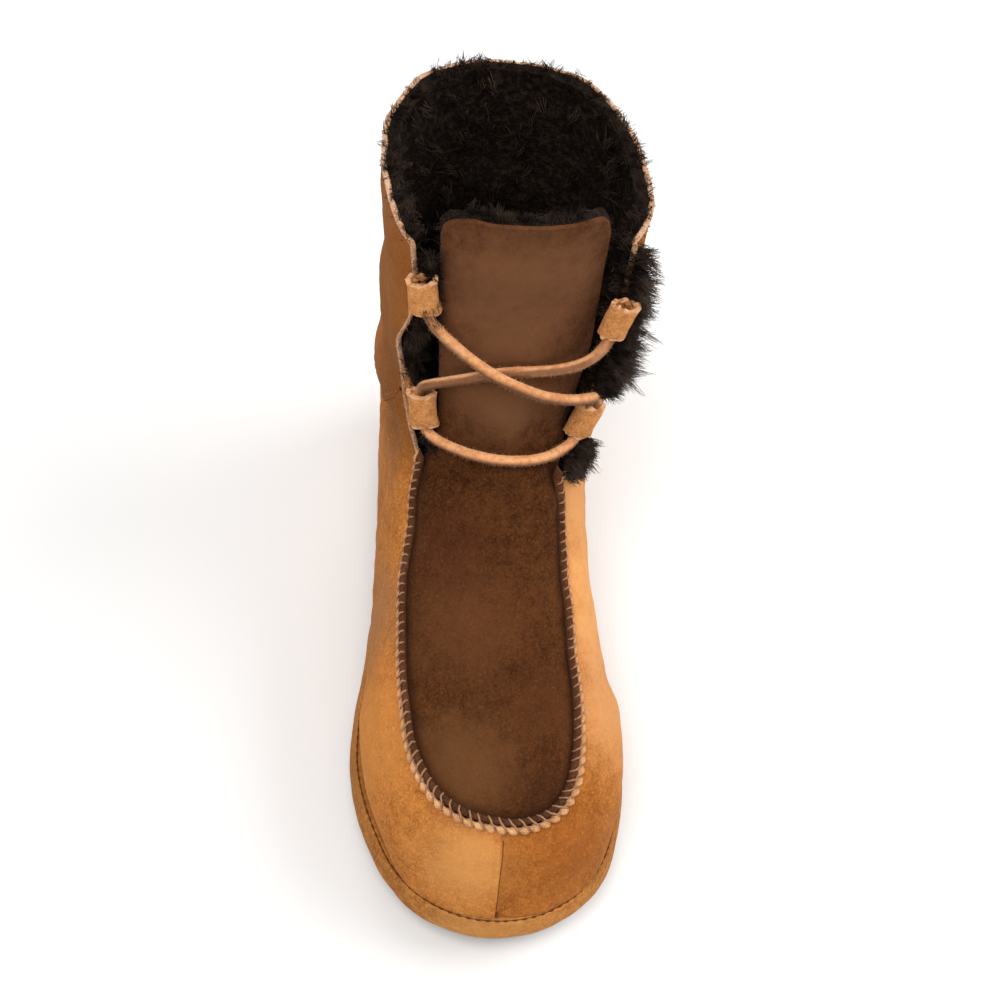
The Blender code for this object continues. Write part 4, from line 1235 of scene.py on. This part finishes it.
# ---- Seams of the wall ---------------------------------------------------------------
# The shaft's panels lap over the quarters along a sewn line from loop to loop round
# the heel; the wall is joined at the middle of the toe, and the shaft up the back.
LAP = ((3.4, -0.5), (3.2, 0.0), (1.6, 0.42), (0.5, 0.68), (0.05, 0.55), (-0.08, 0.1),
       (-0.1, -0.5))
STITCH_EVERY, STITCH_LONG, STITCH_THICK = 3.4, 2.3, 0.26
STITCH_BOW = np.array([-0.25, 0.05, 0.16, 0.16, 0.05, -0.25])
TOE_SEAM_TOP, TOE_SEAM_RUN = (-1.6, 51.2), (-1.6, -26.6)     # in width and height
BACK_SEAM_FOOT = 31.0
# How high the ankle seam runs at each station, on either side.
Drop = namedtuple("Drop", "s lateral medial")
ANKLE_SEAM = (Drop(150.0, 144.0, 140.0), Drop(165.0, 123.5, 119.5), Drop(171.0, 114.5, 111.0),
              Drop(177.0, 107.0, 104.0), Drop(192.0, 91.0, 89.0), Drop(210.0, 79.5, 79.0),
              Drop(230.0, 73.0, 73.0), Drop(250.0, 70.0, 70.0), Drop(285.0, 68.0, 68.0))


def round_heel():
    """The ankle seam, round the heel from one side of the throat to the other."""
    line = []
    for turn in np.radians(np.arange(-148.0, 148.1, 1.5)):
        side, edge = ("medial", medial) if turn > 0 else ("lateral", lateral)
        height = 100.0
        for _ in range(12):      # moves up or down the wall until it lies on the seam
            hit = on_shaft(turn, height)
            goal = curve_through(column(ANKLE_SEAM, "s"), column(ANKLE_SEAM, side), [hit[0][1]])[0]
            height += (goal - height) * 0.6
        if hit[0][1] > np.interp(height, edge[:, 2], edge[:, 1]) + 1.0:
            line.append(np.hstack(hit))
    return soften(even(np.array(line), 0.7), 4)


def sewn(line, offset, lift):
    """A row of short stitches beside a line."""
    place, _, up, side = frame_of(line)
    row = place + side * offset + up * lift
    long = lengths(row)
    parts = []
    for start in np.arange(1.0, long[-1] - STITCH_LONG, STITCH_EVERY):
        at = np.linspace(start, start + STITCH_LONG, len(STITCH_BOW))
        points = points_at(at, long, row) + points_at(at, long, up) * STITCH_BOW[:, None]
        parts.append(tube(points, STITCH_THICK, 6, (0.6, 0.6)))
    return parts


def tapered(out, rows):
    """Lets the lap sink into the wall at both ends."""
    fade = smooth_step(np.minimum(rows, rows[-1] - rows), 0, 9)[:, None]
    out[:, :, 1] = out[:, :, 1] * fade - (1 - fade) * 0.7
    return out


ankle = round_heel()
ankle_lap = sweep("ankle_lap", ankle, LAP, tapered)
toe_seam = []
for k in np.linspace(0, 1, 60):
    x, z = (top + run * k for top, run in zip(TOE_SEAM_TOP, TOE_SEAM_RUN))
    toe_seam.append(np.hstack(cast(worn, (x, -40.0, z), (0, 1, 0))))
toe_seam = soften(even(toe_seam, 0.6), 3)
toe_lap = sweep("toe_lap", toe_seam, np.array(LAP) * (1.3, 1.15))
back_seam = np.array([np.hstack(cast(worn, (0.0, 330.0, z), (0, -1, 0)))
                      for z in np.linspace(BACK_SEAM_FOOT, COLLAR_Z + 0.5, 200)])
back_lap = sweep("back_lap", soften(even(back_seam, 0.8), 3), np.array(LAP) * (0.9, 0.8))
# Painted shade: a thin dark tube along the step of the toe seam and a dark notch at its foot stand
# in for the shadow in the seam.
place, _, up, side = frame_of(toe_seam)
seam_shade_lines = [tube(place - side * 0.25 + up * 0.05, 0.16),
        tube((place - side * 0.6 + up * 0.25)[-6:], 0.5, 6, (0.5, 0.5))]
toe_seam_shade = joined("toe_seam_shade", seam_shade_lines, dark_thread.material)
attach(toe_seam_shade, "root")
for piece in (ankle_lap, toe_lap, back_lap):
    piece.data.materials.append(chestnut.material)
    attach(piece, "root")
seam_thread = Finish("tan_thread", {"Roughness": 0.75})
seam_thread.use(seam_thread.mix(seam_thread.noise(1500.0), (0.16, 0.065, 0.02),
                                (0.30, 0.13, 0.045)))
seam_stitch = joined("seam_stitch", sewn(ankle, 2.0, 0.4) + sewn(back_seam, 2.4, 0.25),
                     seam_thread.material)
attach(seam_stitch, "root")


# ---- Lace loops ----------------------------------------------------------------------
# Four short straps of paler suede, each rolled round the lace and sewn under the
# front edge of its quarter.
LOOP_DIA, LOOP_LONG, LOOP_SKIN = 10.6, 14.0, 1.7
# A loop's middle, how many degrees it leans, and where its strap ends under the quarter.
Loop = namedtuple("Loop", "name x s z lean_back lean_out tab_x tab_s")
LOOPS = (
    Loop("loop_lateral_low", -29.4, 158.4, 124.0, 12.0, -8.0, -37.0, 174.5),
    Loop("loop_medial_low", 32.6, 160.0, 117.4, 12.0, 15.0, 39.0, 175.5),
    Loop("loop_lateral_high", -31.4, 164.8, 175.0, 3.0, -10.0, -38.6, 176.5),
    Loop("loop_medial_high", 38.6, 164.6, 165.5, 3.0, 14.0, 41.4, 177.0),
)
# A strap across its width: to the side, and out from the wall.
STRAP = ((-5.3, -0.9), (-5.5, 0.0), (-5.3, 0.9), (-2.5, 1.15), (0.0, 1.2), (2.5, 1.15),
         (5.3, 0.9), (5.5, 0.0), (5.3, -0.9), (2.5, -1.0), (0.0, -1.0), (-2.5, -1.0))
STRAP_STEPS = 16
STRAP_OUT, STRAP_IN = 2.2, 3.6   # how far out it starts, and how far it has come in at its end

pale, pale_colour, pale_nap = suede(
    "loop_suede", (0.74, 0.33, 0.115), (0.36, 0.135, 0.040), 0.9, painted_glint_amount=0.25)
rim = pale.ramp(pale.painted("rim") + pale.noise(500.0) * 0.5 - 0.25, 0.86, 1.06)
pale.use(pale.mix(rim * 0.75, pale_colour, (0.86, 0.50, 0.28)), pale_nap, 0.0007)


def roll(cylinder, number):
    """Presses a plain cylinder into a hand-rolled loop with lumps and ragged ends."""
    out = np.array([vertex.co[:] for vertex in cylinder.data.vertices]) / MM
    angle = np.arctan2(out[:, 1], out[:, 0])
    high = out[:, 2] / (LOOP_LONG / 2)
    lumps = np.array([noise.noise((math.cos(a) * 1.1 + number * 3, math.sin(a) * 1.1, h * 0.8))
                      for a, h in zip(angle, high)])
    ragged = np.array([noise.noise((math.cos(a) * 2.6, math.sin(a) * 2.6, number * 5.0))
                       for a in angle])
    size = LOOP_DIA / 2 * (0.95 + 0.10 * high**4) + lumps * 0.75
    out[:, 0] = size * np.cos(angle) * 1.06
    out[:, 1] = size * np.sin(angle) * (0.84 - 0.14 * high**2)
    out[:, 2] += ragged * 1.3 * high**2 * np.sign(high)
    cylinder.data.vertices.foreach_set("co", (out * MM).ravel())
    cylinder.data.update()


def narrowing(out, rows):
    """Shape of a strap that narrows a little from the loop to the wall."""
    out[:, :, 0] *= (1.0 - 0.03 * rows)[:, None]
    return out


for number, loop in enumerate(LOOPS):
    bpy.ops.object.select_all(action="DESELECT")
    bpy.ops.mesh.primitive_cylinder_add(vertices=26, radius=LOOP_DIA / 2 * MM,
                                        depth=LOOP_LONG * MM, end_fill_type="NOTHING")
    barrel = bpy.context.object
    barrel.name = "rolled_" + loop.name
    bpy.ops.object.mode_set(mode="EDIT")
    bpy.ops.mesh.select_all(action="SELECT")
    bpy.ops.mesh.subdivide(number_cuts=3)
    bpy.ops.object.mode_set(mode="OBJECT")
    bpy.ops.object.shade_smooth()
    roll(barrel, number)
    paint(barrel, "rim", [abs(v.co.z) / MM / LOOP_LONG * 2 for v in barrel.data.vertices])
    wall = barrel.modifiers.new("wall", "SOLIDIFY")
    wall.thickness = LOOP_SKIN * MM
    wall.offset = -1.0
    bpy.ops.object.modifier_apply(modifier="wall")
    edge = barrel.modifiers.new("edge", "BEVEL")
    edge.width = 0.35 * MM
    edge.segments = 2
    bpy.ops.object.modifier_apply(modifier="edge")
    axis = Vector((math.tan(math.radians(loop.lean_out)), math.tan(math.radians(loop.lean_back)),
                   1.0)).normalized()
    start = np.array((loop.x, loop.s, loop.z))
    face = Vector((math.copysign(0.3, loop.x), -1.0, 0.3))
    face = (face - axis * face.dot(axis)).normalized()
    stand = Matrix((face.cross(axis), face, axis)).transposed().to_4x4()
    barrel.data.transform(Matrix.Translation(put(start)) @ stand)
    barrel.data.materials.append(pale.material)
    tidy_mesh(barrel, 50.0)
    end = np.array((loop.tab_x, loop.tab_s, loop.z + 0.5))
    reach = (end - start) / np.linalg.norm(end - start)
    outward = np.cross(reach, (0, 0, 1.0)) * (1 if loop.x > 0 else -1)
    start = start + reach * 2.5
    base = [start + outward * (STRAP_OUT - STRAP_IN * k) + (end - start) * k
            for k in np.linspace(0, 1, STRAP_STEPS)]
    strap_line = np.hstack([np.array(base), np.tile(outward, (STRAP_STEPS, 1))])
    strap = sweep("strap_" + loop.name, strap_line, STRAP, narrowing)
    strap.data.materials.append(pale.material)
    for piece in (barrel, strap):
        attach(piece, "root")
    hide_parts(loop.name)


# ---- Lace ----------------------------------------------------------------------------
# One round leather thong through all four loops, crossed once over the tongue; both
# ends are tucked into the upper loops.  Its cut sides are paler and fuzzy.
LACE_DIA = 4.0
LACE_ROUTE = (
    (-32.1, 165.0, 178.9), (-31.4, 164.8, 175.0), (-30.2, 164.4, 168.1),
    (-28.4, 163.4, 164.2), (-24.8, 161.4, 160.2), (-18.4, 157.6, 156.0),
    (-10.6, 153.4, 151.9), (-2.7, 150.4, 148.4), (5.0, 150.2, 144.0),
    (12.4, 150.8, 139.8), (19.7, 152.8, 136.0), (26.8, 155.4, 132.8),
    (32.0, 158.2, 130.6), (34.8, 160.8, 128.0), (34.4, 161.4, 124.0),
    (32.6, 160.0, 117.4), (30.8, 158.6, 110.8), (28.4, 155.6, 108.3),
    (24.6, 152.2, 108.2), (19.0, 147.8, 109.4), (10.8, 144.4, 110.8),
    (0.7, 143.2, 112.0), (-9.2, 144.8, 112.6), (-18.4, 148.8, 112.8),
    (-24.4, 152.8, 113.0), (-27.4, 155.6, 114.2), (-28.4, 157.0, 117.2),
    (-29.4, 158.4, 124.0), (-30.4, 159.8, 130.8), (-29.8, 159.4, 134.2),
    (-27.0, 158.0, 137.2), (-22.6, 156.8, 139.6), (-17.0, 155.9, 142.0),
    (-10.1, 155.2, 144.6), (-1.0, 154.8, 147.2), (10.0, 155.4, 147.6),
    (19.6, 156.8, 147.6), (27.4, 158.8, 148.8), (33.2, 161.4, 151.8),
    (36.2, 163.6, 155.8), (36.9, 164.2, 158.7), (38.6, 164.6, 165.5),
    (39.6, 164.8, 169.4),
)
LACE_STEPS, LACE_SIDES = 420, 14
LIT_FROM = np.array((-0.15, 0.25, 0.95))     # the way the painted light comes from: sides of the lace turned away are painted darker
# The run up to the upper medial loop lies in shade: between these route points it is painted
# darker all round but for its top.
SHADE_FROM_POINTS, SHADE_AMOUNTS = (27, 29, 37, 40), (0.0, 0.85, 0.85, 0.1)
LACE_FUZZ = Fur("lace_fuzz", 51, 900, 1, 0.75, 0.05, 0.12, 0.15, STIFF, 3)

route = np.array(LACE_ROUTE)
key = lengths(route)
at = np.linspace(0, key[-1], LACE_STEPS)
shaded_run = np.interp(at, key[list(SHADE_FROM_POINTS)], SHADE_AMOUNTS)
route = curve_through(key, route, at)
forward = np.tile((0.0, -1.0, 0.45), (LACE_STEPS, 1))
place, _, up, side = frame_of(np.hstack([route, forward]))
points, flesh, dark = [], [], []
for i in range(LACE_STEPS):
    twist = 0.5 * math.sin(i * 0.021) + 0.35 * math.sin(i * 0.053 + 1.0)
    for a in circle(LACE_SIDES):
        wide = LACE_DIA / 2 * (1.04 + 0.05 * noise.noise((i * 0.09, math.cos(a), math.sin(a))))
        tall = LACE_DIA / 2 * (0.90 + 0.05 * noise.noise((i * 0.07, 4 + math.cos(a), 2.0)))
        across, over = wide * math.cos(a), tall * math.sin(a)
        across, over = (across * math.cos(twist) - over * math.sin(twist),
                        across * math.sin(twist) + over * math.cos(twist))
        points.append(place[i] + side[i] * across + up[i] * over)
        flesh.append(abs(math.cos(a)) ** 3)
        # Painted shade: each point is painted darker the more it faces away from LIT_FROM, and
        # along the shaded run all round but its top.
        facing = (side[i] * math.cos(a + twist) + up[i] * math.sin(a + twist)) @ LIT_FROM
        dark.append(max(smooth_step(-facing, -0.55, 0.45),
                        shaded_run[i] * smooth_step(facing, 0.95, 0.65)))
lace = new_piece("lace_thong", points, shut_faces(LACE_STEPS, LACE_SIDES))
paint(lace, "flesh", flesh)
paint(lace, "painted_lace_shade", dark)
tidy_mesh(lace, 70.0)
leather = Finish("lace_leather", {"Specular IOR Level": 0.25, "Sheen Weight": 0.08,
                                  "Sheen Tint": (0.95, 0.8, 0.6)})
raw, painted_lace_shade = leather.painted("flesh"), leather.painted("painted_lace_shade")
grain = leather.noise(500.0, 4.0, 0.65)
patch = leather.noise(70.0, 2.0)
leather_colour = leather.mix(leather.ramp(patch * 0.3 + grain * 0.7, 0.36, 0.60),
                             (0.62, 0.250, 0.088), (0.84, 0.40, 0.180))
# Painted shade on the lace; where it lies in painted shade its pale cut sides are dimmed too.
leather_colour = leather.mix(painted_lace_shade * 0.95, leather_colour, (0.10, 0.028, 0.007))
fuzzy = leather.ramp(raw + grain * 1.2 - 0.6, 0.45, 1.0) * (0.8 - painted_lace_shade * 0.7)
leather.use(leather.mix(fuzzy, leather_colour, (0.87, 0.50, 0.24)), grain, 0.0005,
            rough=leather.ramp(raw, 0.0, 1.0) * 0.3 + 0.55)
lace.data.materials.append(leather.material)
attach(lace, "root")
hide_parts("lace")
hair = Finish("lace_hair", {"Roughness": 0.9, "Base Color": (0.66, 0.36, 0.18)})
out = np.array([v.normal[:] for v in lace.data.vertices])
cut_sides = np.array(flesh) > 0.75
locks(LACE_FUZZ, np.array(points)[cut_sides], out[cut_sides], hair)
